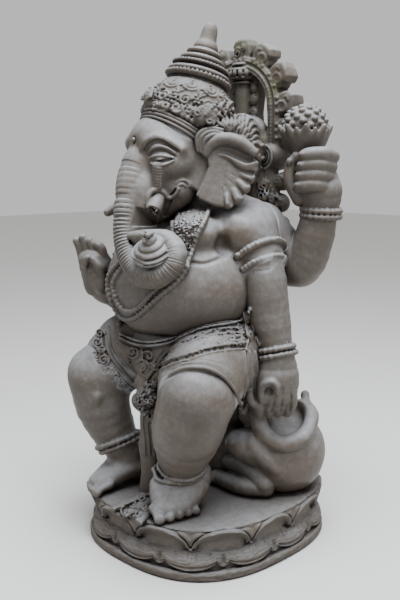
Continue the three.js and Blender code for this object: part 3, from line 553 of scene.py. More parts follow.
def ball(clay, at, radii, turn=(0, 0, 0), blend=6.0, frame=WORLD, cutting=False):
    """An ellipsoid of clay, smoothed into what is there."""
    spin = frame[0] @ rotation(turn)
    centre = frame[0] @ np.array(at, float) + frame[1]
    radii = np.broadcast_to(np.array(radii, float), (3,))
    half = np.sqrt((spin ** 2) @ radii ** 2) + blend + 2 * clay.cell
    cut, (x, y, z) = clay.window(centre - half, centre + half)
    x, y, z = x - centre[0], y - centre[1], z - centre[2]
    near = far = 0.0
    for k in range(3):
        across = (spin[0, k] * x + spin[1, k] * y + spin[2, k] * z) / radii[k]
        near = near + across ** 2
        far = far + (across / radii[k]) ** 2
    near, far = np.sqrt(near), np.sqrt(far) + 1e-6
    clay.put(cut, (near * (near - 1) / far).astype(np.float32), blend, cutting)


def smooth_line(stops, step):
    """Stops of [x, y, z, radius...] joined by a smooth curve, with a point about every step."""
    stops = np.array(stops, float)
    padded = np.concatenate([2 * stops[:1] - stops[1:2], stops, 2 * stops[-1:] - stops[-2:-1]])
    out = []
    for k in range(1, len(padded) - 2):
        a, b, c, d = padded[k - 1:k + 3]
        count = max(int(np.linalg.norm((c - b)[:3]) / step + 0.5), 1)
        t = (np.arange(count) / count)[:, None]
        out.append(0.5 * (2 * b + (c - a) * t + (2 * a - 5 * b + 4 * c - d) * t ** 2
                          + (3 * b - a - 3 * c + d) * t ** 3))
    return np.concatenate([*out, stops[-1:]])


def tube(clay, stops, blend=5.0, across=None, wide=1.0, frame=WORLD, wrinkle=None, cutting=False, step=None):
    """A limb or cord through stops of [x, y, z, radius], widened along across.

    wrinkle(along, share) gives height to add to its surface.
    """
    stops = np.array(stops, float)
    stops[:, :3] = stops[:, :3] @ frame[0].T + frame[1]
    line = smooth_line(stops, step or max(stops[:, 3].mean() * 0.45, clay.cell * 1.2))
    line[:, 3] = np.maximum(line[:, 3], 0.3)
    side = None if across is None else frame[0] @ unit(across)
    stretch = max(wide, 1.0)
    pad = line[:, 3].max() * stretch + blend + 2 * clay.cell
    cut, (x, y, z) = clay.window(line[:, :3].min(0) - pad, line[:, :3].max(0) + pad)
    grids = (x.ravel(), y.ravel(), z.ravel())
    if min(map(len, grids)) == 0:
        return
    shape = np.full([len(g) for g in grids], FAR, np.float32)
    along = np.zeros_like(shape) if wrinkle else None
    lengths = np.linalg.norm(np.diff(line[:, :3], axis=0), axis=1)
    walked = np.concatenate([[0], np.cumsum(lengths)])
    for k, (a, b) in enumerate(zip(line[:-1], line[1:])):
        if lengths[k] < 1e-6:
            continue
        pad = max(a[3], b[3]) * stretch + blend + 2 * clay.cell
        low, high = np.minimum(a, b)[:3] - pad, np.maximum(a, b)[:3] + pad
        part = tuple(slice(*np.searchsorted(grids[i], (low[i], high[i]))) for i in range(3))
        px, py, pz = (x[part[0]] - a[0], y[:, part[1]] - a[1], z[:, :, part[2]] - a[2])
        d = b[:3] - a[:3]
        t = np.clip((px * d[0] + py * d[1] + pz * d[2]) / lengths[k] ** 2, 0, 1)
        qx, qy, qz = px - t * d[0], py - t * d[1], pz - t * d[2]
        square = qx * qx + qy * qy + qz * qz
        if side is not None:
            s = qx * side[0] + qy * side[1] + qz * side[2]
            square = np.maximum(square - s * s, 0) + (s / wide) ** 2
        distance = (np.sqrt(square) - (a[3] + t * (b[3] - a[3]))).astype(np.float32)
        closer = distance < shape[part]
        shape[part] = np.where(closer, distance, shape[part])
        if wrinkle:
            along[part] = np.where(closer, walked[k] + t * lengths[k], along[part])
    if wrinkle:
        shape = shape - wrinkle(along, along / walked[-1]).astype(np.float32)
    clay.put(cut, shape, blend, cutting)


def cord(clay, places, radius, blend=1.0, cutting=False):
    """A thin cord of one radius through places that already lie on the surface."""
    places = np.asarray(places, float)
    if len(places) < 2:
        return
    tube(clay, np.column_stack([places[:, :3], np.full(len(places), radius)]), blend, cutting=cutting,
         step=max(radius * 0.9, clay.cell))


def evenly(places, pitch):
    """Points every pitch along the smooth curve through places."""
    line = smooth_line(places, pitch / 6)
    walked = np.concatenate([[0], np.cumsum(np.linalg.norm(np.diff(line[:, :3], axis=0), axis=1))])
    count = max(int(walked[-1] / pitch), 1)
    marks = np.linspace(0, walked[-1], count + 1)
    return np.stack([np.interp(marks, walked, line[:, k]) for k in range(line.shape[1])], -1)


def beads(clay, places, radius, pitch, blend=0.8):
    """A string of worn beads along a curve."""
    for k, spot in enumerate(evenly(places, pitch)):
        ball(clay, spot[:3], radius * (1 + 0.07 * math.sin(k * 2.4)), blend=blend)


def drop_islands(points, quads):
    """Leaves out crumbs: surfaces with less than a tenth of the points of the largest."""
    label = np.arange(len(points))
    a, b = quads[:, [0, 1, 2, 3]].ravel(), quads[:, [1, 2, 3, 0]].ravel()
    while True:
        low = np.minimum(label[a], label[b])
        after = label.copy()
        np.minimum.at(after, a, low)
        np.minimum.at(after, b, low)
        after = after[after]
        after = after[after]
        if np.array_equal(after, label):
            break
        label = after
    counts = np.bincount(label, minlength=len(label))
    keep = counts[label] > counts.max() * 0.1
    order = np.cumsum(keep) - 1
    return points[keep], order[quads[keep[quads[:, 0]]]]


def set_in_stone(clay, name, material, limit):
    """Turns clay into a piece with at most limit triangles."""
    grid = openvdb.FloatGrid(FAR)
    grid.copyFromArray(clay.depth)
    points, quads = grid.convertToQuads(0.0)
    points, quads = drop_islands(points, quads.astype(np.int64))
    piece = piece_from(name, points * clay.cell + clay.low, quads, 4, material)
    triangles = 2 * len(quads)
    if triangles > limit:
        thin = piece.modifiers.new("thin", "DECIMATE")
        thin.ratio = limit / triangles
        settled = piece.evaluated_get(bpy.context.evaluated_depsgraph_get())
        mesh = bpy.data.meshes.new_from_object(settled)
        piece.modifiers.remove(thin)
        piece.data = mesh
    belongs(piece)


# Its pale colour is a painted highlight on upward faces and edges; the dark ones paint shade with grime.
skin_stone = weathered_stone(
    "skin_stone", (0.105, 0.081, 0.062), (0.115, 0.104, 0.094), (0.31, 0.313, 0.327), (0.0, 0.85),
    DIRT_AND_SHADE, 0.012, 0.9, 0.35, (0.38, 0.6))

mount = Clay((-100, -60, 86), (232, 205, 305), 1.7)
ball(mount, (140, 92, 170), (66, 84, 82))
tube(mount, [(60, 150, 170, 34), (20, 172, 140, 24), (-40, 172, 122, 16), (-90, 146, 108, 10)], 8)
tube(mount, [(150, 100, 245, 34), (122, 66, 240, 34), (100, 24, 256, 26)], 14)
ball(mount, (166, 66, 262), (33, 44, 34), (0, -18, 20), 8, cutting=True)
tube(mount, [(120, 14, 292, 13), (132, 4, 262, 15), (150, 4, 232, 16), (174, 22, 214, 16), (194, 52, 218, 17),
             (194, 84, 234, 16), (180, 110, 254, 14), (160, 118, 266, 12)], 9)
ball(mount, (160, 119, 273), 8.5, blend=3)
tube(mount, [(142, 62, 190, 44), (120, 8, 200, 38), (98, -12, 206, 26)], 12)
tube(mount, [(110, 0, 206, 22), (132, -8, 196, 14), (150, 0, 178, 10)], 8)
tube(mount, [(16, 34, 136, 15), (58, 20, 145, 20), (104, 16, 148, 21), (138, 18, 124, 20)], 2.5)
tube(mount, [(138, 20, 114, 19), (110, 2, 114, 20), (74, -2, 113, 19), (28, 2, 111, 16)], 2)
for start, length in (((30, -10, 110), 30), ((26, 3, 110), 34), ((24, 15, 110), 28)):
    tube(mount, [(*start, 9.0), (start[0] - length, start[1] - 2, 105, 7.0)], 1.5)
tube(mount, [(160, 119, 262, 9), (150, 128, 284, 8.5)], 3)
HAUNCH_RIDGE = [(237, 424), (250, 441), (262, 456), (274, 470)]
haunch_ridge = mount.seen(HAUNCH_RIDGE)
tube(mount, np.column_stack([mount.lifted(haunch_ridge, -6), [8, 12, 12, 9][:len(haunch_ridge)]]), 8)
mount.ripple(26, 0.8, 3)
mount.ripple(9, 0.3, 4)
mount.smooth()
set_in_stone(mount, "crouching_mount", skin_stone, 32000)


# Seat, legs and feet
# Thick legs with the knees wide apart, bare feet with five toes, and two rows of beads at each ankle.
# The rock under the hips only shows from behind.
KNEE = 68.0
legs = Clay((-232, -232, 86), (222, 175, 400), 1.6)
tube(legs, [(-10, 76, 96, 74), (-4, 72, 190, 72), (0, 52, 275, 90), (0, 40, 340, 100)], 6)
legs.ripple(30, 3.0, 5)
tube(legs, [(72, 30, 380, 74), (104, -80, 372, 73), (128, -152, 338, KNEE)], 8)
tube(legs, [(128, -152, 336, KNEE), (106, -154, 272, KNEE - 3), (72, -134, 212, 50), (50, -120, 172, 36)], 12)
ball(legs, (66, -136, 204), (44, 46, 36), blend=6)
tube(legs, [(-72, 30, 380, 74), (-112, -80, 366, 72), (-148, -158, 322, 60)], 8)
tube(legs, [(-148, -158, 320, 60), (-141, -155, 262, 55), (-127, -140, 205, 44), (-113, -124, 162, 36)], 12)
ball(legs, (-122, -196, 292), (26, 14, 20), blend=8)


def foot(clay, sole, toes, radius, ahead, across, wide):
    """A bare foot: ankle, arch and ball, then five toes side by side, each with a nail."""
    tube(clay, sole, 10, across=across, wide=wide)
    ahead = np.array([*ahead, 0.0]) / np.linalg.norm(ahead)
    for k, (x, y) in enumerate(toes):
        tip = np.array([x, y, DECK + radius - 1.5 - 0.4 * k])
        size = radius * (1.08 if k == 0 else 1 - 0.04 * k)
        tube(clay, [(*(tip - ahead * 34 + [0, 0, 9]), size), (*(tip - ahead * 16 + [0, 0, 5]), size * 0.9),
                    (*(tip - ahead * 6), size)], 1.2)
        ball(clay, tip - ahead * 2 + [0, 0, size * 0.62], (size * 0.5, size * 0.5, size * 0.34), blend=0.8)


foot(legs, [(46, -116, 150, 36), (60, -134, 132, 35), (78, -164, 114, 25)],
     [(90, -208), (98, -190), (102, -172), (105, -154), (109, -137)], 10.5, (0.93, -0.36), (0.3, 0.95, 0),
     1.75)
foot(legs, [(-108, -84, 122, 27), (-112, -128, 132, 28), (-118, -188, 112, 18)],
     [(-92, -218), (-106, -216), (-119, -212), (-131, -206), (-142, -198)], 9.0, (-0.1, -1.0), (1, -0.1, 0),
     1.5)


def hoop(at, axis, radius):
    """Points of a closed ring round a limb."""
    axis = unit(axis)
    side = unit((1, 0, 0) - axis * axis[0])
    front = np.cross(axis, side)
    round_it = np.linspace(0, 2 * np.pi, 49)[:, None]
    return np.array(at) + radius * (np.cos(round_it) * side + np.sin(round_it) * front)


def bead_bracelet(clay, at, axis, radius, bead):
    """Two rows of worn beads side by side round a limb."""
    axis = unit(axis)
    for along in (-5.5, 5.5):
        ring = hoop(np.array(at) + axis * along, axis, radius)
        cord(clay, ring, bead * 0.72)
        beads(clay, ring, bead, bead * 1.75)


legs.ripple(34, 0.9, 6)
legs.ripple(10, 0.25, 7)
legs.smooth()


def anklet(clay, at, axis, bead, gap, reach):
    """Two rows of worn beads that follow the limb's own shape round its axis."""
    axis = unit(axis)
    for sign in (-0.5, 0.5):
        middle = np.array(at, float) + axis * gap * sign
        row = clay.lifted(clay.exits(middle, hoop(middle, axis, reach)), bead * 0.45)
        cord(clay, row, bead * 0.8)
        beads(clay, row, bead, bead * 1.8)


anklet(legs, (50, -120, 174), (0.16, -0.16, 0.97), 5.2, 9.5, 55)
anklet(legs, (-117, -129, 184), (-0.45, -0.1, 1.0), 6.0, 11.0, 55)
set_in_stone(legs, "legs_and_seat", skin_stone, 68000)


# Draped cloth
# A short wrap over both thighs, carved in low relief: a twisted waist cord, crosswise pleats, a flowered
# band on the right thigh, an apron with paired scrolls, a knot of flowers and a sash down to the deck.
# Its pale colour is a painted highlight on upward faces and edges; the dark ones paint shade with grime.
cloth_stone = weathered_stone(
    "cloth_stone", (0.102, 0.08, 0.062), (0.112, 0.102, 0.092), (0.25, 0.252, 0.262), (0.15, 1.0),
    DIRT_AND_SHADE, 0.009, 1.1, 0.5, (0.5, 0.75))

cloth = Clay((-228, -232, 86), (215, 150, 520), 1.45)
ball(cloth, (0, 20, 388), (140, 116, 80))
tube(cloth, [(66, 20, 384, 84), (98, -74, 380, 82), (120, -136, 354, 76)], 10)
tube(cloth, [(-66, 20, 392, 86), (-104, -66, 386, 84), (-132, -120, 350, 70)], 10)
ball(cloth, (-4, -88, 376), (112, 72, 48), (14, 0, 0), 14)
# The wrap ends at the knees, cut square to each thigh.
cloth.slice_off((149, -181, 370), (0.639, -0.678, -0.363), (20, -232, 240), (215, 0, 500))
cloth.slice_off((-121, -189, 338), (-0.587, -0.39, -0.709), (-228, -232, 200), (-20, 0, 500))
tube(cloth, [(0, -120, 400, 46), (0, -134, 360, 34), (4, -148, 318, 14)], 10, across=(1, 0, 0), wide=1.5)
tube(cloth, [(2, -152, 300, 8), (-6, -150, 220, 8), (-14, -142, 150, 8), (-22, -138, 96, 9)], 2,
     across=(0.8, 0.6, 0), wide=2.4)
for x, y in ((134, -16), (146, 14), (142, 46)):
    tube(cloth, [(x - 6, y, 450, 14), (x, y - 6, 370, 17), (x - 10, y - 12, 280, 9)], 5)


def on_level(pixels, height):
    """Places at a height behind places in the picture."""
    ways = sight_lines(pixels)
    return EYE + ways * ((height - EYE[2]) / ways[:, 2:])


# The sash's end spreads over the deck in curling tails.
SASH_TAILS = ([(150, 494), (137, 500), (122, 506), (110, 511)], [(148, 502), (134, 510), (122, 517)],
              [(150, 510), (142, 518), (136, 526)])
for pixels in SASH_TAILS:
    tail = on_level(pixels, DECK + 1)
    tube(cloth, np.column_stack([tail, np.linspace(8, 4, len(tail))]), 4, across=(0.8, 0.6, 0), wide=1.8)
cloth.ripple(30, 0.8, 8)
cloth.smooth()


def laid(pixels, radius, height=0.8, cutting=False, blend=1.0, step=2.5):
    """A cord, or a groove, on the cloth behind a line in the picture."""
    cord(cloth, cloth.lifted(cloth.seen(smooth_line(pixels, step)), height), radius, blend, cutting)


def groove(pixels, radius=1.7, height=0.0):
    laid(pixels, radius, height, cutting=True)


def shifted(pixels, right, down):
    return [(x + right, y + down) for x, y in pixels]


def curl_marks(at, size, way=1, start=0.0, turns=1.4):
    """A scroll in the picture that winds in from its outer end."""
    t = np.linspace(0, 1, 18)
    swing = start + way * t * turns * 2 * np.pi
    reach = size * (1 - 0.8 * t)
    return np.column_stack([at[0] + reach * np.cos(swing), at[1] + reach * np.sin(swing)])


def curl(at, size, radius=1.8, way=1, start=0.0, turns=1.4):
    cord(cloth, cloth.lifted(cloth.seen(curl_marks(at, size, way, start, turns)), 1.4), radius, 0.8)


def flower(at, size, rise=1.5):
    """A small round flower: a button and five petals about it."""
    spots = [at] + [(at[0] + size * 0.62 * math.cos(p), at[1] + size * 0.62 * math.sin(p))
                    for p in np.arange(5) * 2 * np.pi / 5 + at[0]]
    for k, spot in enumerate(cloth.lifted(cloth.seen(spots), rise)):
        ball(cloth, spot, size * (0.62 if k == 0 else 0.72), blend=0.7)


# Left thigh: two deep pitted pleats with shallow ones between, and faint lines above the hem.
PLEAT_UPPER = [(163, 358), (172, 350), (182, 344), (192, 339), (206, 334), (220, 331), (240, 330)]
PLEAT_LOWER = [(149, 380), (155, 372), (162, 366), (175, 360.5), (188, 357), (202, 352.5), (216, 349),
               (231, 347), (246, 346)]
HEM_LEFT = [(159.5, 402), (162, 388), (169.5, 376), (182, 369), (195, 367.5), (210, 369.5), (224, 377.5),
            (235, 391), (240, 404)]
HEM_LINES = ([(182, 362.5), (200, 360), (213, 361.5), (224, 365), (233, 372)],
             [(178, 366), (196, 363.5), (211, 365.5), (223, 370.5), (233, 380)])
RUFFLE_BOX = ((186, 322), (246, 345))
groove(PLEAT_UPPER, 2.6, 0.5)
groove(PLEAT_LOWER, 3.2, 0.3)
for pleat, down, radius, height in ((PLEAT_UPPER, -2.4, 1.9, 0.2), (PLEAT_UPPER, 2.6, 1.9, 0.2),
                                    (PLEAT_LOWER, -2.8, 2.2, 0.2), (PLEAT_LOWER, 2.8, 2.0, 0.0)):
    laid(shifted(pleat, 0, down), radius, height)
for down in (5.0, 8.5):
    groove(shifted(PLEAT_UPPER, 1.5, down), 1.2, 0.4)
for down in (-5.5, -9.0):
    groove(shifted(PLEAT_UPPER[1:], 1, down), 1.2, 0.4)
for line in HEM_LINES:
    groove(line, 1.1, 0.4)
laid(HEM_LEFT, 3.4, 0.8)
groove(shifted(HEM_LEFT, 0, -3.2), 1.1, 0.3)
chance = np.random.default_rng(45)
for path, count in ((PLEAT_UPPER, 60), (PLEAT_LOWER, 70)):
    line = smooth_line(path, 1.0)
    for spot in cloth.seen(line[chance.integers(0, len(line), count)] + chance.normal(0, 1.3, (count, 2))):
        ball(cloth, spot, chance.uniform(1.2, 2.4), blend=0.6, cutting=True)
ruffle = chance.uniform(*RUFFLE_BOX, (170, 2))
for spot in cloth.lifted(cloth.seen(ruffle), 0.2):
    ball(cloth, spot, chance.uniform(1.0, 2.2, 3) * (1.6, 1, 0.8), chance.uniform(0, 180, 3), 0.8,
         cutting=chance.random() < 0.5)

# Right thigh: a plain double border in a V, and a flowered band between it and the hem.
BORDER_V = [(109, 327), (110.5, 345), (116, 357.5), (125, 368.5), (135, 379.5), (146, 387)]
HEM_RIGHT = [(84, 352), (84, 360), (90, 371), (97, 379), (108, 387), (121, 393)]
BAND_FLOWERS = ((100.5, 334, 4.2), (98, 343, 4.0), (102, 349, 3.4), (96, 354, 4.0), (104, 360, 4.6),
                (97, 364, 3.4), (108, 369, 4.2), (102, 372, 3.2), (115, 377, 4.2), (110, 381, 3.0),
                (122, 384, 3.8), (117, 387.5, 2.8), (129, 394, 5.0), (122, 393, 3.0))
groove(BORDER_V, 2.6, 0.2)
laid(shifted(BORDER_V, -3.2, 1.6), 3.2, 0.4, blend=1.5)
groove(shifted(BORDER_V, -5.6, 3.4), 1.3)
laid(shifted(BORDER_V, -7.2, 4.8), 1.8, 0.8)
groove(shifted(BORDER_V[:-1], 3.4, -0.6), 1.2, 0.3)
groove(shifted(BORDER_V[:-1], 6.8, -1.2), 1.2, 0.3)
laid(HEM_RIGHT, 2.6, -0.2)
groove(shifted(HEM_RIGHT, 2.4, -2.4), 1.6, 0.2)
laid(shifted(HEM_RIGHT, 4.2, -4.2), 1.6, 0.6)
for k, (x, y, size) in enumerate(BAND_FLOWERS):
    curl((x, y), size * 1.15, 2.2, way=1 if k % 2 else -1, start=1.7 * k)
    if k % 2:
        flower((x + 1.5, y - 3.5), 2.0)

# The apron: a pair of ringed scrolls, a leaf under them, and a border of beads toward the left thigh.
APRON_SCROLLS = (((149, 356), 8.2, 1), ((134, 352), 6.6, -1), ((143, 366), 4.4, -1), ((129, 362), 4.0, 1),
                 ((155, 366), 3.4, 1))
APRON_LEAF = ([(136, 363), (142, 359), (143, 350)], [(141, 371), (146, 376), (151, 372)],
              [(150, 366), (146, 361), (140, 360)])
APRON_BEADS = (([(166, 353), (159, 361.5), (153, 370), (148, 378)], 0.8, 2.6, 4.6),
               ([(163, 350), (155.5, 359), (150, 368), (145, 375)], 0.6, 1.9, 3.6))
for at, size, way in APRON_SCROLLS:
    curl(at, size, 2.4, way=way, start=0.6 if way > 0 else 2.4, turns=1.3)
    ball(cloth, cloth.lifted(cloth.seen([at]), 1.0)[0], 3.2, blend=1.0)
    groove(curl_marks(at, size * 0.6, way, 1.0, 0.9), 1.4, 0.4)
for line in APRON_LEAF:
    laid(line, 2.0, 1.2)
for line, height, bead, pitch in APRON_BEADS:
    beads(cloth, cloth.lifted(cloth.seen(line), height), bead, pitch)

# Waist cord: two strands twisted together under the belly.
WAIST = [(121, 333.5), (133, 339), (145, 341.2), (156, 340.6), (170, 337.5), (185, 331), (196, 325.5),
         (212, 321), (228, 318.5), (239, 316)]
for down, radius in ((0.5, 3.6), (4.2, 3.4)):
    laid(shifted(WAIST, 0, down), radius, 2.0, blend=1.5)
    strand = cloth.lifted(cloth.seen(smooth_line(shifted(WAIST, 0, down), 2.0)), 4.2)
    beads(cloth, strand, 2.6, 5.0, 1.0)
groove(shifted(WAIST, 0, 7.6), 2.0, 0.4)
# Behind, it runs round the small of the back to the other hip.
tube(cloth, [(152, -40, 480, 5), (130, 5, 482, 5), (100, 47, 482, 5), (60, 75, 482, 5), (0, 90, 482, 5),
             (-60, 82, 482, 5), (-110, 53, 482, 5), (-145, 7, 480, 5), (-150, -20, 478, 5),
             (-96, -146, 432, 5)], 3)

# Flower knot over the tip of the apron, and the sash that hangs from it.
for x, y, z in ((-8, -158, 330), (6, -166, 312), (-12, -162, 296)):
    ball(cloth, (x, y, z), (26, 14, 19), blend=4)
KNOT_FLOWERS = ((142, 395, 4.2), (150, 390, 4.0), (152.5, 400, 4.2), (142, 406, 4.2), (148, 412, 3.6),
                (154, 410, 3.2), (155, 383, 3.4), (137.5, 401, 3.2), (146, 401, 3.0), (153, 418, 3.2),
                (148, 384, 3.0))
SASH_FOLD = [(148, 414), (147.5, 424), (149, 438), (150, 455)]
SASH_CURLS = ((118, 500, 4.6), (111, 508, 4.0), (124, 511, 4.2), (133, 504, 4.6), (142, 498, 4.4),
              (138, 515, 4.0), (128, 517, 3.4), (145, 508, 3.6))
for x, y, size in KNOT_FLOWERS:
    flower((x, y), size * 1.15, 2.6)
    curl((x - 1.5, y + 2), size * 0.9, 1.5, start=x)
for right in (-4.5, 0.0, 4.5):
    laid(shifted(SASH_FOLD, right, 0), 1.8, 0.8)
for x, y, size in SASH_CURLS:
    curl((x, y), size, 2.1, way=1 if x % 2 else -1, start=x)
laid(SASH_TAILS[0], 2.0, 0.8)

# The knot at the left hip, with loose threads, and the folds that fall from it behind the thigh.
for x, y, z, size in ((134, -32, 464, 15), (146, -20, 444, 17), (158, -22, 418, 14), (150, -46, 430, 13),
                      (146, -14, 490, 12)):
    ball(cloth, (x, y, z), size, blend=5)
HIP_KNOT_BOX = ((236, 322), (250, 348))
HIP_THREADS = (([(246, 300), (252, 322), (259, 346)], 2.6), ([(250, 300), (256, 322), (262, 347)], 2.0),
               ([(241, 300), (246, 324), (250, 340)], 2.2), ([(243, 322), (248, 335), (246, 350)], 2.2))
HIP_FOLD = [(244, 352), (246, 368), (245, 388), (240, 408)]
HIP_GAP = [(246.6, 352), (248.8, 368), (247.8, 388), (243, 408)]
for spot in cloth.lifted(cloth.seen(chance.uniform(*HIP_KNOT_BOX, (70, 2))), 0.5):
    ball(cloth, spot, chance.uniform(1.6, 4.4, 3), chance.uniform(0, 180, 3), 0.8,
         cutting=chance.random() < 0.45)
for line, radius in HIP_THREADS:
    laid(line, radius, 1.4, step=4)
for right, radius in ((0, 2.6), (5.5, 2.8), (11, 2.4), (16, 2.2)):
    laid(shifted(HIP_FOLD, right, 0), radius, 0.8)
    groove(shifted(HIP_GAP, right, 0), 2.2, 0.2)
set_in_stone(cloth, "draped_cloth", cloth_stone, 140000)


# Body
# Round belly, soft chest and sloping shoulders, with the rough neck strap, the long double string of
# beads that hangs from it over the belly, and a twisted band round each upper arm.
body = Clay((-180, -216, 400), (180, 132, 724), 1.5)
ball(body, (-8, -52, 514), (156, 148, 122))
ball(body, (0, 12, 580), (128, 88, 108), blend=16)
ball(body, (58, -92, 606), (56, 48, 44), (0, -14, 0), 12)
ball(body, (-58, -92, 606), (56, 48, 44), (0, 14, 0), 12)
ball(body, (0, -10, 672), (70, 66, 70), blend=20)
ball(body, (0, 0, 634), (126, 74, 58), blend=20)
tube(body, [(112, 0, 610, 49), (137, -2, 562, 48), (142, -2, 540, 35), (150, -2, 515, 18)], 12)
tube(body, [(-112, 0, 610, 48), (-146, 6, 555, 44), (-162, 0, 520, 42)], 12)
for sign in (1, -1):
    ball(body, (98 * sign, 6, 618), (58, 78, 58), (0, 24 * sign, 14 * sign), 18)
BREAST_CREASE = [(190, 262), (202, 264), (214, 261), (224, 256), (230, 250)]
ARMPIT = (221, 246)
breast_crease = body.seen(BREAST_CREASE)
body.ripple(36, 0.9, 9)
body.ripple(12, 0.25, 10)
cord(body, breast_crease, 2.2, 6, cutting=True)
ball(body, body.seen([ARMPIT])[0], (9, 9, 14), blend=16, cutting=True)


def mirrored(places):
    return np.asarray(places, float) * (-1, 1, 1)


# The strap lies between the trunk and its bead edging, and was left rough by the tool.
STRAP_OUTER = np.array([(209, 209), (204, 222), (198, 234), (193, 248), (187, 264)], float)
STRAP_INNER = np.array([(162, 212), (160, 224), (164, 238), (168, 252), (168, 264)], float)
MIDLINE = 5.0
chance = np.random.default_rng(12)
bands = [body.seen(STRAP_OUTER + (STRAP_INNER - STRAP_OUTER) * share) for share in np.linspace(0, 1, 11)]
for band in bands:
    band = band[band[:, 0] > MIDLINE]
    for places in (band, mirrored(band)):
        cord(body, body.lifted(places, 0.5), 6.0, 3)
TOOL_MARKS = 700
along_strap = chance.uniform(0, len(STRAP_OUTER) - 1.01, TOOL_MARKS)
strap_marks = np.column_stack([np.interp(along_strap, range(len(STRAP_OUTER)), edge)
                               for edge in STRAP_OUTER.T])
strap_marks += (STRAP_INNER[2] - STRAP_OUTER[2]) * chance.uniform(0.05, 0.98, (TOOL_MARKS, 1))
in_sight = (strap_marks[:, 1] < 236) | (strap_marks[:, 0] > 184)
strap_top = body.seen(strap_marks[in_sight])
for spot in strap_top[strap_top[:, 0] > MIDLINE]:
    size, turned, dig = chance.uniform(1.0, 3.0, 3), chance.uniform(0, 180, 3), chance.random() < 0.5
    ball(body, spot, size, turned, 0.6, cutting=dig)
    ball(body, mirrored(spot), size, turned, 0.6, cutting=dig)
strap_edge = body.seen(STRAP_OUTER)
for places in (strap_edge, mirrored(strap_edge)):
    rim = body.lifted(places, 2.0)
    cord(body, rim, 3.6)
    beads(body, rim, 4.4, 8.4)

# The double string of beads hangs from the strap round the belly and back up on the other side.
OUTER_STRING = [(187, 266), (178, 281), (165.7, 291.4), (151.4, 304), (140, 314), (131, 318.5), (123, 317),
                (116, 308.5), (111.5, 298), (109, 287), (110, 277), (114, 270), (120, 264), (126, 257)]
INNER_STRING = [(184, 262), (166, 281), (153, 293), (143, 304.3), (134, 310.4), (126, 310.5), (119.5, 304),
                (115.5, 294), (114.5, 284), (119, 274), (125, 266), (130, 259)]
for path, size in ((OUTER_STRING, 5.6), (INNER_STRING, 5.0)):
    string = body.lifted(body.seen(path), 2.5)
    cord(body, string, size * 0.7, 1.2)
    beads(body, string, size, size * 1.7, 1.0)


def armlet(clay, at, axis, lift=2.0):
    """A twisted band that follows the upper arm's own shape."""
    axis = unit(axis)
    ring = clay.exits(np.array(at, float), hoop(at, axis, 60), 90)
    ring = clay.lifted(ring[np.linalg.norm(ring - at, axis=1) < 54], lift)
    cord(clay, ring, 6.0, 1.5)
    beads(clay, clay.lifted(ring, 1.5), 6.3, 7.4, 0.8)


armlet(body, (133, -2, 568), (-0.66, 0.1, 0.75))
armlet(body, (-133, -2, 568), (0.66, 0.1, 0.75))
ARMLET_TAIL = [(287, 262), (287, 270), (285, 278)]
cord(body, body.lifted(body.seen(ARMLET_TAIL), 3), 4)
set_in_stone(body, "body", skin_stone, 100000)


# Front arms
# The left forearm hangs to the mount and rests its hand there, fingers down. The right one comes
# forward with its palm raised and its ring finger bent over a flower.
left_arm = Clay((100, -80, 236), (236, 84, 604), 1.4)
tube(left_arm, [(136, -2, 560, 38), (141, -3, 545, 44), (148, -3, 525, 44), (158, -2, 480, 41),
                (176, 0, 410, 32), (180, 0, 388, 31)], 5)
left_arm.ripple(30, 0.8, 14)
tube(left_arm, [(180, 0, 388, 29), (181, -2, 354, 37), (179, 0, 328, 36), (173, 4, 308, 28)], 8,
     across=(0.6, 0.8, 0), wide=1.18)
armlet(left_arm, (141, -3, 543), (-0.66, 0.1, 0.75), 3.5)
for k in (-1.5, -0.5, 0.5, 1.5):
    tube(left_arm, [(180 + 12 * k, -2 + 15 * k, 330, 13), (182 + 12.5 * k, -5 + 16 * k, 302, 12.5),
                    (172 + 11 * k, 3 + 14 * k, 280, 10.5)], 1.4)
tube(left_arm, [(160, -34, 364, 13), (154, -44, 336, 12), (158, -42, 310, 11), (166, -32, 300, 9)], 2)
THUMB_HOLLOW = (268, 392)
THUMB_ARC = [(262, 400), (261, 391), (265, 384), (272, 382), (277, 387), (277, 394)]
FINGER_GAPS = ([(283, 388), (282, 400), (280, 412)], [(291, 392), (291, 402), (289, 412)],
               [(275, 396), (273, 404), (271, 413)])
hollow = left_arm.seen([THUMB_HOLLOW])[0]
thumb_arc = left_arm.seen(THUMB_ARC)
ball(left_arm, hollow, (9, 9, 10), blend=3, cutting=True)
tube(left_arm, np.column_stack([left_arm.lifted(thumb_arc, 1.0), np.linspace(7.0, 4.5, len(thumb_arc))]), 6)
for line in FINGER_GAPS:
    cord(left_arm, left_arm.seen(line), 2.4, 3, cutting=True)
anklet(left_arm, (179, 0, 397), (-0.31, 0.04, 1.0), 5.4, 12.0, 60)
set_in_stone(left_arm, "left_front_arm", skin_stone, 32000)

right_arm = Clay((-224, -200, 440), (-96, 60, 630), 1.3)
tube(right_arm, [(-140, 4, 566, 42), (-146, 6, 555, 43), (-170, -8, 500, 40), (-168, -60, 484, 35),
                 (-152, -122, 490, 28)], 6)
right_arm.ripple(30, 0.8, 15)
tube(right_arm, [(-150, -130, 492, 28), (-154, -146, 526, 29), (-160, -154, 552, 25)], 8,
     across=(0.8, 0.5, 0), wide=1.3)
ball(right_arm, (-138, -156, 512), (16, 14, 24), blend=6)
ball(right_arm, (-166, -160, 508), (16, 12, 26), blend=6)
armlet(right_arm, (-147, 4, 546), (0.66, 0.1, 0.75))
for k in (-1.5, -0.5, 0.5, 1.5):
    tube(right_arm, [(-160 + 14 * k, -155 + 6 * k, 550, 10.5), (-163 + 14 * k, -160 + 6 * k, 576, 10),
                     (-168 + 13 * k, -166 + 6 * k, 596 - 6 * abs(k + 0.5), 8.5)], 1.2)
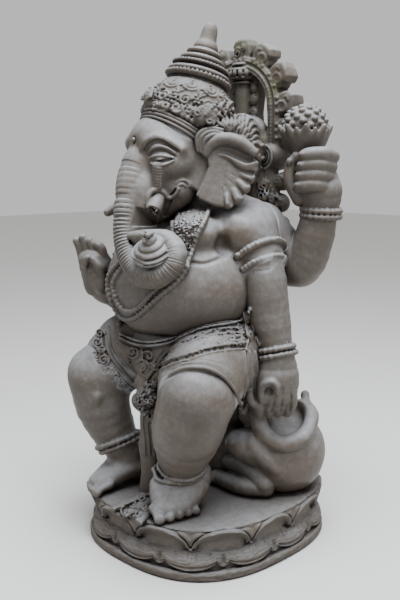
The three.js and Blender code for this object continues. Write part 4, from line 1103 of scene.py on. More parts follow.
tube(right_arm, [(-132, -148, 520, 11), (-128, -164, 540, 10), (-138, -172, 556, 8)], 2)
tube(right_arm, [(-146, -170, 552, 8), (-144, -182, 560, 7), (-150, -184, 546, 6)], 1)
for k in range(6):
    round_it = k * math.pi / 3
    way = np.array([0.8 * math.cos(round_it), 0.5 * math.cos(round_it), math.sin(round_it)])
    ball(right_arm, np.array([-152, -176, 540]) + 8.5 * way, 4.6, blend=0.8)
ball(right_arm, (-152, -180, 540), 4.4, blend=0.8)
bead_bracelet(right_arm, (-156, -104, 489), (0.15, -0.98, 0.1), 33, 5.4)
right_arm.smooth()
set_in_stone(right_arm, "right_front_arm", skin_stone, 30000)


# Raised rear arms
# Both rise from behind the shoulders, with a double bracelet at the wrist. The left one holds a lotus
# bud in its cup of petals; the right one, hidden in the photograph, a small axe.
rear_arms = Clay((-256, 20, 490), (256, 142, 865), 1.35)
for sign in (1, -1):
    tube(rear_arms, [(100 * sign, 40, 618, 52), (136 * sign, 76, 566, 47), (164 * sign, 86, 552, 44),
                     (190 * sign, 88, 594, 38), (206 * sign, 88, 650, 31)], 8)
rear_arms.ripple(30, 0.8, 16)
for sign in (1, -1):
    tube(rear_arms, [(207 * sign, 90, 664, 30), (205 * sign, 88, 690, 37), (200 * sign, 88, 712, 29)], 6,
         across=(1, 0, 0), wide=1.15)
    bead_bracelet(rear_arms, (207 * sign, 90, 650), (0.05 * sign, 0, 1), 35, 5.8)
for k in range(4):
    tube(rear_arms, [(230 - 2 * k, 88 - 3 * k, 752 - 18 * k, 14),
                     (232 - 3 * k, 60 - 2 * k, 756 - 18 * k, 13.5),
                     (208 - 3 * k, 44, 754 - 18 * k, 13), (190 - 2 * k, 52, 747 - 17 * k, 10)], 1.2)
    ball(rear_arms, (204 - 3 * k, 33, 755 - 18 * k), (8, 4, 5.5), blend=1.0)
tube(rear_arms, [(206, 92, 700, 32), (202, 92, 735, 26)], 6)
tube(rear_arms, [(176, 66, 676, 15), (162, 58, 706, 14), (160, 60, 734, 13), (170, 62, 752, 10)], 2)
ball(rear_arms, (163, 48, 742), (6, 4, 8), blend=1.0)

LOTUS = np.array([168.0, 88.0, 768.0])
ball(rear_arms, LOTUS + (0, 0, 4), (32, 32, 26), blend=4)
for row, (reach, height, count, size) in enumerate(((31, 9, 8, 17), (35, 15, 8, 15))):
    for k in range(count):
        turn_to = 2 * math.pi * (k + 0.5 * row) / count + 0.3
        out = np.array([math.cos(turn_to), math.sin(turn_to), 0])
        centre = LOTUS + out * reach + (0, 0, height)
        ball(rear_arms, centre, (size, 7, 23), (22, 0, math.degrees(turn_to) + 90), 2)
        tube(rear_arms, [(*(centre + (0, 0, 8)), 9), (*(centre + out * 8 + (0, 0, 18)), 6.5),
                         (*(centre + out * 13 + (0, 0, 25)), 3.0)], 2)
BUD = LOTUS + (0, 0, 41)
BUD_KNOBS = 44
BUD_REACH = np.array([38.0, 38.0, 34.0])
GOLDEN_TURN = 2.39996
ball(rear_arms, BUD, BUD_REACH, blend=1.5)
for k in range(BUD_KNOBS):
    rise = 1 - (k + 0.5) / BUD_KNOBS * 1.15
    flat = math.sqrt(max(1 - rise * rise, 0))
    spot = BUD + BUD_REACH * (flat * math.cos(k * GOLDEN_TURN), flat * math.sin(k * GOLDEN_TURN), rise)
    ball(rear_arms, spot, (6.4, 6.4, 5.6), blend=0.8)
ball(rear_arms, BUD + (0, 0, 33), 8, blend=2)

# The axe: a shaft through the closed hand and a curved blade at its head.
for down in (0, 13, 26):
    tube(rear_arms, [(-224, 80, 716 - down, 12), (-222, 56, 717 - down, 12), (-200, 50, 714 - down, 11)], 1.4)
tube(rear_arms, [(-184, 70, 690, 14), (-182, 52, 706, 13), (-198, 46, 720, 11)], 2)
tube(rear_arms, [(-202, 66, 668, 9), (-198, 70, 740, 9), (-192, 74, 800, 9)], 3)
for lean in np.linspace(-0.9, 0.9, 9):
    tube(rear_arms, [(-194, 80, 772, 8), (-194 - 30 * math.cos(lean), 80, 772 + 30 * math.sin(lean), 4)], 4)
cord(rear_arms, hoop((-199, 69, 742), (0, 0.1, 1), 10), 3.5)
rear_arms.smooth()
set_in_stone(rear_arms, "raised_rear_arms", skin_stone, 65000)


# Head, ears and trunk
# An elephant's head turned to its own right and tipped back, with sleepy eyes, a broken left tusk, ears
# like fans and a ringed trunk that curls over a stepped sweet.
HEAD = (rotation((0, 0, -15)) @ rotation((-16, 0, 0)), np.array([-14.0, -56.0, 762.0]))
head = Clay((-142, -234, 526), (206, 78, 868), 1.25)
ball(head, (0, 0, 0), (84, 88, 86), frame=HEAD)
ball(head, (0, -60, 4), (54, 42, 40), blend=20, frame=HEAD)
ball(head, (0, -16, -62), (50, 52, 46), blend=20, frame=HEAD)
BOTH = (np.array([1.0, 1, 1]), np.array([-1.0, 1, 1]))


def from_head(places):
    return np.asarray(places, float) @ HEAD[0].T + HEAD[1]


def on_face(pixels):
    """Places on the left of the face, in the head's own frame, that lie behind places in the picture."""
    return (head.seen(pixels) - HEAD[1]) @ HEAD[0]


for flip in BOTH:
    ball(head, flip * (50, -38, -36), (34, 40, 34), blend=16, frame=HEAD)
    tube(head, [(*(flip * (30, -84, -8)), 12), (*(flip * (58, -66, -4)), 12), (*(flip * (74, -40, -10)), 10)],
         14, frame=HEAD)
    tube(head, [(*(flip * (52, -54, -46)), 20), (*(flip * (43, -48, -84)), 19)], 10, frame=HEAD)
    tube(head, [(*(flip * (44, -14, -76)), 35), (*(flip * (33, -22, -100)), 28),
                (*(flip * (24, -28, -122)), 19), (*(flip * (14, -34, -138)), 8)], 10, frame=HEAD)

TRUNK = [(-20, -92, 776, 40), (-34, -134, 734, 36), (-30, -158, 692, 30), (-24, -176, 650, 24),
         (-18, -185, 612, 22), (0, -193, 580, 21.5), (30, -200, 556, 21.5), (63, -204, 548, 21.5),
         (92, -200, 555, 20.5), (110, -188, 574, 19.5), (106, -182, 594, 19), (87, -180, 606, 17.5),
         (58, -184, 610, 15), (27, -190, 610, 12), (8, -193, 609, 9.5)]
tube(head, TRUNK, 9)
tube(head, [(-8, -128, 716, 26), (-6, -146, 690, 27), (-5, -154, 650, 26), (-2, -160, 622, 20)], 8)

# The face's folds are placed while the cheek is still whole, then cut and raised on both sides alike.
BROW_GROOVE = [(145, 151), (149.5, 144.5), (156.5, 141.5), (163.5, 143), (171, 147.5), (178, 151.5)]
BROW_EDGE = [(142, 149), (148, 140.5), (156.5, 136.5), (165, 138.5), (173, 143), (181, 149)]
LID_FOLD = [(149, 153), (153, 148.6), (159, 146.6), (167, 148.2), (175, 153)]
LID_LINE = [(149.5, 156.5), (153, 152.8), (159, 151), (167, 152.5), (176, 157.5)]
UPPER_LID = [(150.5, 158.5), (155, 157), (161, 156.4), (167, 157), (173, 158)]
EYE_SLIT = [(151.5, 161), (156, 161.6), (161, 161.6), (166, 160.8), (171.5, 158.6)]
LOWER_LID = [(151.5, 163.5), (156, 165.2), (162, 165.4), (168, 163.6), (173, 161)]
TUSK_MUSCLE = [(157, 167), (157.5, 175), (157, 184), (157, 190)]
COLLAR = [(147.5, 205), (148.5, 197), (152, 191.5), (158, 190), (164, 193), (167.5, 197.5), (172, 198),
          (176, 194.5), (178.5, 189)]
SMILE_INNER = [(177, 188), (179.5, 185), (183, 184.6), (185.5, 187)]
SMILE_OUTER = [(176, 183.5), (180, 180.6), (184.5, 180.6), (188, 183.5), (189, 187)]
MOUTH_GAP = [(176, 190), (172.5, 196), (169, 202), (166.5, 209), (164.5, 216)]
EYE_SPOT, FOREHEAD_DOT = (160.5, 160.5), (133.6, 140)
brow_groove, brow_edge, lid_fold, lid_line, upper_lid, eye_slit, lower_lid, tusk_muscle, collar = (
    on_face(line) for line in (BROW_GROOVE, BROW_EDGE, LID_FOLD, LID_LINE, UPPER_LID, EYE_SLIT, LOWER_LID,
                               TUSK_MUSCLE, COLLAR))
smile_inner, smile_outer, mouth_gap = (on_face(line) for line in (SMILE_INNER, SMILE_OUTER, MOUTH_GAP))
eye_spot, bindi = on_face([EYE_SPOT])[0], on_face([FOREHEAD_DOT])[0]


def fold(places, radius, height=0.0, cutting=False, blend=2.0):
    """A fold of the face that thins at both ends, raised or cut by height."""
    spots = head.lifted(from_head(places), height)
    ends = np.clip(np.linspace(0, 1, len(spots)), 0.06, 0.94)
    slim = radius * (0.45 + 0.55 * np.sin(np.pi * ends) ** 0.5)
    tube(head, np.column_stack([spots, slim]), blend, step=radius * 0.8, cutting=cutting)


head.ripple(34, 0.8, 18)
head.smooth()


def trunk_rings(along, share):
    pitch = 9.4 - 3.2 * share
    grown = np.clip((share - 0.1) * 16, 0, 1) * np.clip((0.93 - share) * 12, 0, 1)
    height = np.interp(share, [0, 0.5, 0.7, 1], [4.0, 3.6, 1.8, 0.8])
    return grown * height * (np.abs(np.sin(np.pi * along / pitch)) ** 0.6 - 0.7)


ringed = np.array(TRUNK, float)
ringed[:, 3] -= 0.5
ringed[:, :3] += 4.5 * np.array([(-0.45, -0.7, 0.1)] * 4 + [(-0.4, -0.75, 0)] * 2 + [(0, -0.6, -0.7)] * 5
                                + [(0, -0.5, 0.7)] * 4)
tube(head, ringed, 1.5, wrinkle=trunk_rings)
for flip in BOTH:
    fold(brow_edge * flip, 6.0, -2.5, blend=8)
    fold(brow_groove * flip, 4.4, 0.8, cutting=True, blend=2.0)
    fold(lid_fold * flip, 3.0, 0.2, blend=2.5)
    ball(head, head.lifted([from_head(eye_spot * flip)], -9.5)[0], 13, blend=4)
    fold(lid_line * flip, 2.4, 0.8, cutting=True, blend=0.8)
    fold(upper_lid * flip, 3.2, 1.6, blend=2.0)
    fold(eye_slit * flip, 3.0, 1.2, cutting=True, blend=0.6)
    fold(lower_lid * flip, 2.4, 1.4, blend=1.8)
    fold(tusk_muscle * flip, 8.5, -3.0, blend=8)
    for k in range(8):
        spot = tusk_muscle[0] + (tusk_muscle[-1] - tusk_muscle[0]) * (k + 0.2) / 8
        fold((spot + np.outer(np.linspace(-1, 1, 5), (11.0, 5.5, -1.0 + 0.3 * k))) * flip, 3.0,
             np.array([[-4.0], [1.4], [3.0], [1.4], [-4.0]]), blend=1.6)
    fold(smile_outer * flip, 2.4, 0.4, blend=2.5)
    fold(smile_inner * flip, 2.6, 0.6)
    fold(mouth_gap * flip, 4.6, 0.0, cutting=True)
    places = head.lifted(from_head(collar * flip), 1.0)
    thick = np.interp(np.arange(len(places)), [0, 3, 8], [4.8, 5.2, 3.0])
    tube(head, np.column_stack([places, thick]), 1.5, step=3)
dot = head.lifted([from_head(bindi)], 0.0)[0]
ball(head, dot, 7.0, blend=2, cutting=True)
ball(head, head.lifted([dot], -1.5)[0], 5.4, blend=1)

# The left tusk is broken off short, with a ragged end.
TUSK_WAY = unit(EYE)
TUSK_ENDS = [(157.5, 199), (153.5, 213)]
tusk = head.seen(TUSK_ENDS)
tusk = np.array([tusk[0] - TUSK_WAY * 2, tusk.mean(0) + TUSK_WAY * 5, tusk[1] + TUSK_WAY * 10])
tube(head, np.column_stack([tusk, (13.0, 14.0, 14.0)]), 1.0)
tusk_way = unit(tusk[2] - tusk[1])
chance = np.random.default_rng(21)
head.slice_off(tusk[2] - tusk_way, tusk_way, tusk[2] - 26, tusk[2] + 26, 1.0)
ball(head, tusk[2], (7, 7, 7), blend=1.5, cutting=True)
for k in range(40):
    around = unit(np.cross(tusk_way, chance.standard_normal(3)))
    spot = tusk[2] - tusk_way * chance.uniform(-1, 5) + around * chance.uniform(3, 12)
    ball(head, spot, chance.uniform(1.6, 4.2, 3), chance.uniform(0, 180, 3), 0.6,
         cutting=chance.random() < 0.55)
tube(head, [(-42, -46, -84, 15), (-46, -66, -118, 13), (-53, -92, -144, 8)], 2, frame=HEAD)


def outline_table(outline, cell=0.5, margin=14.0):
    """Distances to a closed outline on a fine grid, below zero inside."""
    outline = np.array(outline, float)
    low, high = outline.min(0) - margin, outline.max(0) + margin
    u = np.arange(low[0], high[0], cell)[:, None]
    v = np.arange(low[1], high[1], cell)[None]
    nearest = np.full((u.size, v.size), np.inf)
    inside = np.zeros((u.size, v.size), bool)
    for a, b in zip(outline, np.roll(outline, -1, 0)):
        d = b - a
        t = np.clip(((u - a[0]) * d[0] + (v - a[1]) * d[1]) / max(d @ d, 1e-9), 0, 1)
        nearest = np.minimum(nearest, (u - a[0] - t * d[0]) ** 2 + (v - a[1] - t * d[1]) ** 2)
        if a[1] != b[1]:
            crosses = (a[1] > v) != (b[1] > v)
            inside ^= crosses & (u < a[0] + (v - a[1]) * d[0] / (b[1] - a[1]))
    return low, cell, (np.sqrt(nearest) * np.where(inside, -1, 1)).astype(np.float32)


def read_table(table, u, v):
    low, cell, values = table
    i = np.clip((u - low[0]) / cell, 0, values.shape[0] - 1.001)
    j = np.clip((v - low[1]) / cell, 0, values.shape[1] - 1.001)
    i0, j0 = i.astype(np.int32), j.astype(np.int32)
    i, j = i - i0, j - j0
    return ((values[i0, j0] * (1 - j) + values[i0, j0 + 1] * j) * (1 - i)
            + (values[i0 + 1, j0] * (1 - j) + values[i0 + 1, j0 + 1] * j) * i)


def local(frame, grids):
    """The clay's grid coordinates as seen in a turned and shifted frame."""
    x, y, z = (g - o for g, o in zip(grids, frame[1]))
    return [frame[0][0, k] * x + frame[0][1, k] * y + frame[0][2, k] * z for k in range(3)]


def plate(clay, outline, thick, frame, blend=2.0, edge=2.0):
    """A flat piece: an outline in the frame's X and Z, thick along its Y, with rounded edges."""
    table = outline_table(outline)
    (u0, v0), (u1, v1) = np.min(outline, 0), np.max(outline, 0)
    pad = blend + 3
    corners = np.array([(u, w, v) for u in (u0 - pad, u1 + pad) for v in (v0 - pad, v1 + pad)
                        for w in (-thick / 2 - pad, thick / 2 + pad)]) @ frame[0].T + frame[1]
    cut, grids = clay.window(corners.min(0), corners.max(0))
    x, y, z = local(frame, grids)
    flat = read_table(table, x, z) + edge
    deep = np.abs(y) - thick / 2 + edge
    shape = np.minimum(np.maximum(flat, deep), 0) - edge + np.hypot(np.maximum(flat, 0), np.maximum(deep, 0))
    clay.put(cut, shape.astype(np.float32), blend)


# Each ear is a thick fan: its upper edge rolls forward over a hollow, and its lower edge falls in folds.
# Its lines are read off the picture on the left ear's own plane, and the right ear is its mirror image.
EAR_SWING = 53.0
LEFT_EAR = (HEAD[0] @ rotation((0, 0, EAR_SWING)), from_head((84.0, -4.0, 4.0)))


def on_ear(pixels, level=-6.0):
    """(x, z) on the left ear's plane behind places in the picture."""
    ways = sight_lines(pixels) @ LEFT_EAR[0]
    start = (EYE - LEFT_EAR[1]) @ LEFT_EAR[0]
    return (start + ways * ((level - start[1]) / ways[:, 1:2]))[:, [0, 2]]


EAR_EDGE = on_ear([(205, 146), (211, 137.6), (220, 134.5), (231, 134.6), (241, 137.8), (250, 144),
                   (256.5, 151.5), (253, 157), (257.5, 162), (255, 170), (251, 173.8), (252.5, 181),
                   (248, 183.5), (247.5, 192), (241.5, 194.5), (238, 202), (232.5, 204), (228, 208),
                   (222, 207), (214, 206), (206, 202.5), (199, 199.5), (195.5, 195), (202, 181), (208, 167),
                   (206, 155)])
EAR_ROOT = [(-14, -8), (-14, -66), (16, -80), (30, -50), (32, -20), (24, 4)]
EAR_ROLL = on_ear([(206, 153), (210.5, 145.5), (219, 140.5), (229, 139.6), (239, 142.5), (247.5, 147.5),
                   (254, 153)])
EAR_HOLLOW = on_ear([(220, 150.5), (229, 152.5), (239, 157), (248, 160.5), (256, 159.5)])
EAR_LIP = on_ear([(220, 155), (228, 156.5), (235, 160.5), (241, 164.5), (248, 166), (254, 163.5)])
EAR_FOLDS = [on_ear(line) for line in (
    [(236, 170), (245, 169.5), (253, 168.5)], [(234.5, 172.5), (243, 175), (250, 178)],
    [(232, 178), (239, 182.5), (245, 188)], [(229, 184), (234, 191), (237.5, 198.5)],
    [(225, 188), (227, 196), (228, 203.5)])]
EAR_VALLEYS = [on_ear(line) for line in (
    [(234, 167), (243, 171.5), (252, 174)], [(231.5, 174), (240, 178.5), (249, 183.5)],
    [(228.5, 180), (236, 187), (243, 195.5)], [(225, 185.5), (229.5, 194), (233, 205.5)],
    [(221.5, 188), (222.5, 197), (222.5, 208.5)])]
EAR_LOOPS = [on_ear(line, -16.0) for line in (
    [(197.5, 150), (196.5, 143), (197.5, 136), (203, 130.5), (212, 128), (222, 129.5)],
    [(200.5, 151), (199.5, 144), (201.5, 137.5), (206.5, 133), (214, 131), (222, 132.5)],
    [(203.5, 151), (203, 145), (205.5, 139.5), (210, 136), (216, 134.2), (221, 135.5)])]

for flip in BOTH:
    ear_place = (HEAD[0] @ rotation((0, 0, EAR_SWING * flip[0])), from_head(flip * (84.0, -4.0, 4.0)))

    def ear_tube(line, levels, radii, blend=1.5, **options):
        """A tube along (x, z) places on the ear, at levels out of its plane."""
        marks = np.linspace(0, 1, len(line))
        depth, size = [np.interp(marks, np.linspace(0, 1, len(v)), v) for v in (levels, radii)]
        stops = np.column_stack([line[:, 0] * flip[0], depth, line[:, 1], size])
        tube(head, stops, blend, frame=ear_place, **options)

    middle = (ear_place[0], ear_place[0] @ np.array([0, 4.0, 0]) + ear_place[1])
    behind = (ear_place[0], ear_place[0] @ np.array([0, 12.0, 0]) + ear_place[1])
    plate(head, [(x * flip[0], z) for x, z in EAR_ROOT], 14, behind, 8, 5)
    plate(head, [(x * flip[0], z) for x, z in EAR_EDGE], 19, middle, 4, 5)
    for line in EAR_FOLDS:
        rise = line[-1] - line[0]
        ear_tube(line, (3, -1, -2), (5, 9.5), 0.8, across=(-rise[1] * flip[0], 0, rise[0]), wide=1.15)
    for line in EAR_VALLEYS:
        ear_tube(line, (-6, -9.5, -10), (1.4, 3.8, 5.4), 0.8, cutting=True)
    ear_tube(EAR_LIP, (-4, -6, -6), (3, 7, 8.5, 8), 3)
    ear_tube(EAR_HOLLOW, (-7, -10, -9), (3.5, 6.5, 7, 5), 2, cutting=True)
    ear_tube(EAR_ROLL, (-5, -11, -13, -11), (8, 10.5, 11.5, 11, 8), 2)
    # The ribbed loop that winds round the front of the ear's root.
    for line in EAR_LOOPS:
        ear_tube(line, (-8, -15, -16, -12), (3.0, 3.9, 3.9, 3.2), 0.8)

# The sweet in the trunk's curl: a stepped round cake with a knob, seen almost from above.
SWEET = np.array([75.0, -205.0, 594.0])
facing = unit([0.2, -0.55, 0.81])
side_way = unit(np.cross(facing, (0, 0, 1)))
sweet_turn = np.column_stack([side_way, facing, np.cross(side_way, facing)])
SWEET_STEPS = ((28, -36, 12), (34, -22, 14), (37, -8, 8), (38, 0, 5), (32, 6, 8), (23, 13, 9), (13, 21, 11))
for reach, at, thick in SWEET_STEPS:
    ball(head, (0, 0, 0), (reach, thick, reach), blend=1.0, frame=(sweet_turn, SWEET + facing * at))
for at, reach in ((1.5, 37.5), (-4, 37)):
    cord(head, hoop(SWEET + facing * at, facing, reach), 1.8)
for spot in SWEET + facing * 25 + chance.uniform(-9, 9, (26, 3)):
    ball(head, spot, chance.uniform(3.5, 7.0, 3), chance.uniform(0, 180, 3), 1.2,
         cutting=chance.random() < 0.25)
ball(head, (9, -197, 604), (5, 6, 6), (0, 0, 20), 2, cutting=True)
set_in_stone(head, "head_and_trunk", skin_stone, 150000)


# Crown
# A tall crown carved in one with the head: a sloping diadem of cords and beads with leaf crests, a dome
# covered with scrollwork, stacked rings and a plain finial. Wavy locks fall behind the ears.
def lathe(clay, profile, frame):
    """A turned shape about the frame's Z axis from (radius, height) points."""
    blend = 2.0
    table = outline_table(list(profile) + [(-r, z) for r, z in reversed(profile)])
    radius = max(r for r, _ in profile) + blend + 3
    heights = [z for _, z in profile]
    corners = np.array([(x, y, z) for x in (-radius, radius) for y in (-radius, radius)
                        for z in (min(heights) - blend - 3, max(heights) + blend + 3)])
    corners = corners @ frame[0].T + frame[1]
    cut, grids = clay.window(corners.min(0), corners.max(0))
    x, y, z = local(frame, grids)
    shape = read_table(table, np.sqrt(x * x + y * y), z)
    clay.put(cut, shape.astype(np.float32), blend)


STATUE_HEIGHT = 1000.0
CROWN_TIP = (STATUE_HEIGHT - HEAD[1][2]) / math.cos(math.radians(16))
CROWN_PROFILE = [(0, 0), (82, 10), (85, 52), (81, 84), (72, 106), (60, 122), (53, 128), (54, 130),
                 (60, 131.5), (62, 135), (59, 138.5), (56, 140), (59, 142), (60.5, 146), (57, 150),
                 (47, 153), (51, 156), (52, 160), (49, 164), (40, 166), (42.5, 169), (43, 173), (39, 177),
                 (30, 179), (33, 183), (34, 187), (30, 191), (23, 193.5), (24, 198), (22, 204), (17, 212),
                 (15.5, 222), (14.5, 232), (12, 240), (7, CROWN_TIP - 1.5), (0, CROWN_TIP)]
crown = Clay((-140, -194, 716), (128, 130, 1003), 1.25)
lathe(crown, CROWN_PROFILE, HEAD)
DIADEM_TILT = -19.0
SLOPE = (HEAD[0] @ rotation((DIADEM_TILT, 0, 0)), from_head((0, 0, 24.0)))
lathe(crown, [(0, -14), (86, -12), (87, 2), (88, 12), (86, 28), (0, 34)], SLOPE)


CROWN_REACH = 112.0


def round_crown(frame, marks):
    """Places on the crown for marks of (degrees round from the front, height) in a frame."""
    marks = np.asarray(marks, float)
    turned = np.radians(marks[:, 0])
    axis_points = np.column_stack([np.zeros((len(marks), 2)), marks[:, 1]])
    rim_points = np.column_stack([CROWN_REACH * np.sin(turned), -CROWN_REACH * np.cos(turned), marks[:, 1]])
    rim_points, axis_points = rim_points @ frame[0].T + frame[1], axis_points @ frame[0].T + frame[1]
    return crown.wrap(rim_points, axis_points, 1.0 + CROWN_REACH * 0.9)


def diadem_ring(height, radius, bead=None, lift=0.0):
    marks = [(degrees, height) for degrees in range(-180, 181, 6)]
    places = crown.lifted(round_crown(SLOPE, marks), lift)
    cord(crown, places, radius, 1.2)
    if bead:
        beads(crown, places, bead, bead * 1.9, 0.8)


def scroll(at, height, size, way=1, start=0.0, around=78.0):
    """A scroll on the dome, winding in from its outer end."""
    t = np.linspace(0, 1, 15)
    swing = start + way * t * 1.5 * 2 * np.pi
    reach = size * (1 - 0.78 * t)
    marks = np.column_stack([at + np.degrees(reach * np.cos(swing) / around), height + reach * np.sin(swing)])
    cord(crown, crown.lifted(round_crown(HEAD, marks), -0.2), 2.7, 1.4)


# The diadem, from its lowest cords up.
for height in (-12.0, -6.0, 0.0):
    diadem_ring(height, 2.7, lift=1.2)
diadem_ring(9.0, 3.0, bead=5.4, lift=0.6)
diadem_ring(17.0, 2.2, lift=1.0)
diadem_ring(23.0, 2.0, bead=3.7, lift=0.4)
diadem_ring(29.5, 2.4, lift=1.0)
for k in range(24):
    at = 15.0 * k
    leaf = [(at - 5, 34), (at - 3, 41), (at, 44), (at + 3, 41), (at + 5, 34)]
    cord(crown, crown.lifted(round_crown(SLOPE, leaf), 0.6), 1.7)

# The dome: a lower row of paired scrolls, a middle row of rosettes and scrolls, and swags under the rings.
for k in range(12):
    at = 30.0 * k + 8
    scroll(at - 7, 60, 10.0, way=1, start=2.4)
    scroll(at + 8, 60, 10.0, way=-1, start=0.7)
    ball(crown, round_crown(HEAD, [(at, 70)])[0], 3.6, blend=1.0)
    scroll(at + 15, 79, 10.5, way=1, start=0.3)
    centre = round_crown(HEAD, [(at, 84)])[0]
    ball(crown, centre, 3.6, blend=0.8)
    petals = [(at + 7.0 * math.cos(p) * 0.8, 84 + 7.0 * math.sin(p)) for p in np.arange(6) * 1.047]
    for petal in round_crown(HEAD, petals):
        ball(crown, petal, 3.2, blend=1.0)
    scroll(at + 4, 101, 9.0, way=-1, start=1.0, around=70)
    for reach, size in ((15.0, 2.4), (9.5, 2.0)):
        swing = np.linspace(-1.2, 1.2, 11)
        swag = [(at + 17 + np.degrees(reach * math.sin(s) / 62), 115 - reach * 1.05 * math.cos(s))
                for s in swing]
        cord(crown, crown.lifted(round_crown(HEAD, swag), 0.0), size, 1.2)
    for drop in (109, 114, 119):
        ball(crown, round_crown(HEAD, [(at + 17, drop)])[0], 2.6, blend=0.8)

# Beads round the big ring and the one above it.
for height, radius, bead in ((137.5, 60, 4.2), (160.0, 52, 3.6)):
    spots = hoop(from_head((0, 0, height)), HEAD[0][:, 2], radius)
    beads(crown, spots, bead, bead * 1.95, 0.7)


def crest(at, height, width, tall, lean=0.0):
    """A leaf crest that stands on the diadem: a pointed leaf with scrolls at its foot and a rib."""
    turned = math.radians(at)
    out = SLOPE[0] @ np.array([math.sin(turned), -math.cos(turned), 0])
    up = SLOPE[0][:, 2]
    side = np.cross(up, out)
    foot = round_crown(SLOPE, [(at, height)])[0]
    up = up + side * lean
    tube(crown, [(*(foot + out * 1), width * 0.36), (*(foot + up * tall * 0.45 + out * 4), width * 0.4),
                 (*(foot + up * tall * 0.85 + out * 5), width * 0.22), (*(foot + up * tall + out * 7), 2.5)],
         3, across=side, wide=1.15)
    for way in (1, -1):
        for share, size in ((0.08, 0.24), (0.42, 0.2), (0.7, 0.15)):
            spot = foot + up * tall * share + side * way * width * (0.42 - 0.3 * share) + out * (width * 0.34)
            t = np.linspace(0, 1, 12)
            swing = way * t * 9.0 + (0 if way > 0 else np.pi)
            reach = width * size * (1 - 0.75 * t)
            winding = np.outer(reach * np.cos(swing), side) + np.outer(reach * np.sin(swing), up)
            cord(crown, spot + winding + np.outer(t * 2, out), 2.3, 0.8)
    rib = foot + np.outer(np.linspace(0.2, 0.95, 5) * tall, up) + out * (width * 0.44)
    beads(crown, rib, 3.2, 5.6)


crest(0, 14, 30, 22)
for at, lean in ((72, 0.2), (-72, -0.2), (100, 0.3), (-100, -0.3)):
    crest(at, 19, 34, 30, lean)

# Hair: a mass behind each ear, covered with locks like small flames that spread from the ear's root.
LOCK_ROOT = np.array([222.0, 141.0])
for flip in BOTH:
    for x, y, z, size in ((62, 40, 34, 32), (66, 46, 2, 30), (50, 62, -26, 28), (48, 52, 58, 26)):
        ball(crown, from_head(flip * (x, y, z)), (size, size * 0.9, size * 0.9), blend=8)
    for x, y, z, size in ((50, 20, 790, 40), (60, 40, 762, 38), (44, 50, 800, 34)):
        ball(crown, (flip[0] * x, y, z), size, blend=8)
locks = []
for row, (near, far, count) in enumerate(((8, 22, 7), (18, 31, 9), (27, 40, 10))):
    for k in range(count):
        lean = math.radians(-96 + (108 / count) * (k + 0.3 * row))
        way = np.array([math.cos(lean), math.sin(lean)])
        sway = np.array([-way[1], way[0]])
        line = [LOCK_ROOT + way * (near + (far - near) * s) + sway * 2.4 * math.sin(s * 5.5 + row)
                for s in np.linspace(0, 1, 6)]
        locks.append((crown.seen(line) - HEAD[1]) @ HEAD[0])
for flip in BOTH:
    for spots in locks:
        if len(spots) > 3:
            places = crown.lifted(from_head(spots * flip), 0.8)
            thin = np.interp(np.linspace(0, 1, len(places)), [0, 0.5, 1], [3.4, 4.4, 2.0])
            tube(crown, np.column_stack([places, thin]), 1.0, step=3)
    for row in range(6):
        for lock in range(3):
            at, height = 128 + lock * 17 + (row % 2) * 8, 44 - row * 12
            turned = math.radians(at)
            line = []
            for s in np.linspace(0, 1, 6):
                bend = 5.5 * math.sin(s * 6.0 + row)
                line.append(flip * ((95 * math.sin(turned + 0.26 * s)), -(95 * math.cos(turned + 0.26 * s)),
                                    height + bend - 9 * s))
            places = crown.wrap(from_head(np.array(line)), from_head(np.array(line) * (0.1, 0.1, 1)), 60)
            if len(places) > 2:
                cord(crown, crown.lifted(places, 1.4), 3.6, 1.0)
set_in_stone(crown, "crown", cloth_stone, 145000)


# Halo and back plate
# An arch of stone behind the crown, edged with curled leaves, on a column with a ribbed capital and a
# back plate carved with scrolls. Its shaded hollows have kept a little moss.
# Its pale colour is a painted highlight on upward faces and edges; the dark ones paint shade with grime.
halo_stone = weathered_stone(
    "halo_stone", (0.104, 0.082, 0.064), (0.115, 0.105, 0.096), (0.26, 0.262, 0.272), (0.1, 1.0),
    DIRT_AND_SHADE, 0.010, 1.1, 0.6, (0.55, 0.8), moss=((0.075, 0.082, 0.032), 0.5))


halo = Clay((-146, 56, 540), (146, 146, 986), 1.4)
HALO_PLANE, HALO_FOOT, HALO_CENTRE = 110.0, 748.0, 845.0
HALO_RADIUS, HALO_BAND, HALO_DEPTH = 86.0, 28.0, 40.0
arc = np.linspace(0, np.pi, 25)
outer, inner = HALO_RADIUS + HALO_BAND / 2, HALO_RADIUS - HALO_BAND / 2
outer_arc = [(outer * math.cos(a), outer * math.sin(a)) for a in arc]
inner_arc = [(inner * math.cos(a), inner * math.sin(a)) for a in arc[::-1]]
foot_drop = HALO_FOOT - HALO_CENTRE
plate(halo, [(100, foot_drop), *outer_arc, (-100, foot_drop), (-72, foot_drop), *inner_arc, (72, foot_drop)],
      HALO_DEPTH, (np.eye(3), np.array([0, HALO_PLANE, HALO_CENTRE])))


def flat_scroll(at, side, up, size, radius, way=1, start=0.0, turns=1.7):
    """A raised scroll on a plane, winding in to a small boss."""
    side, up = np.array(side, float), np.array(up, float)
    out = np.cross(side, up)
    t = np.linspace(0, 1, 18)
    swing = start + way * t * turns * 2 * np.pi
    reach = size * (1 - 0.82 * t)
    curl = (np.array(at, float) + np.outer(reach * np.cos(swing), side) + np.outer(reach * np.sin(swing), up)
            + np.outer(t * 2.0, out))
    cord(halo, curl, radius, 0.8)


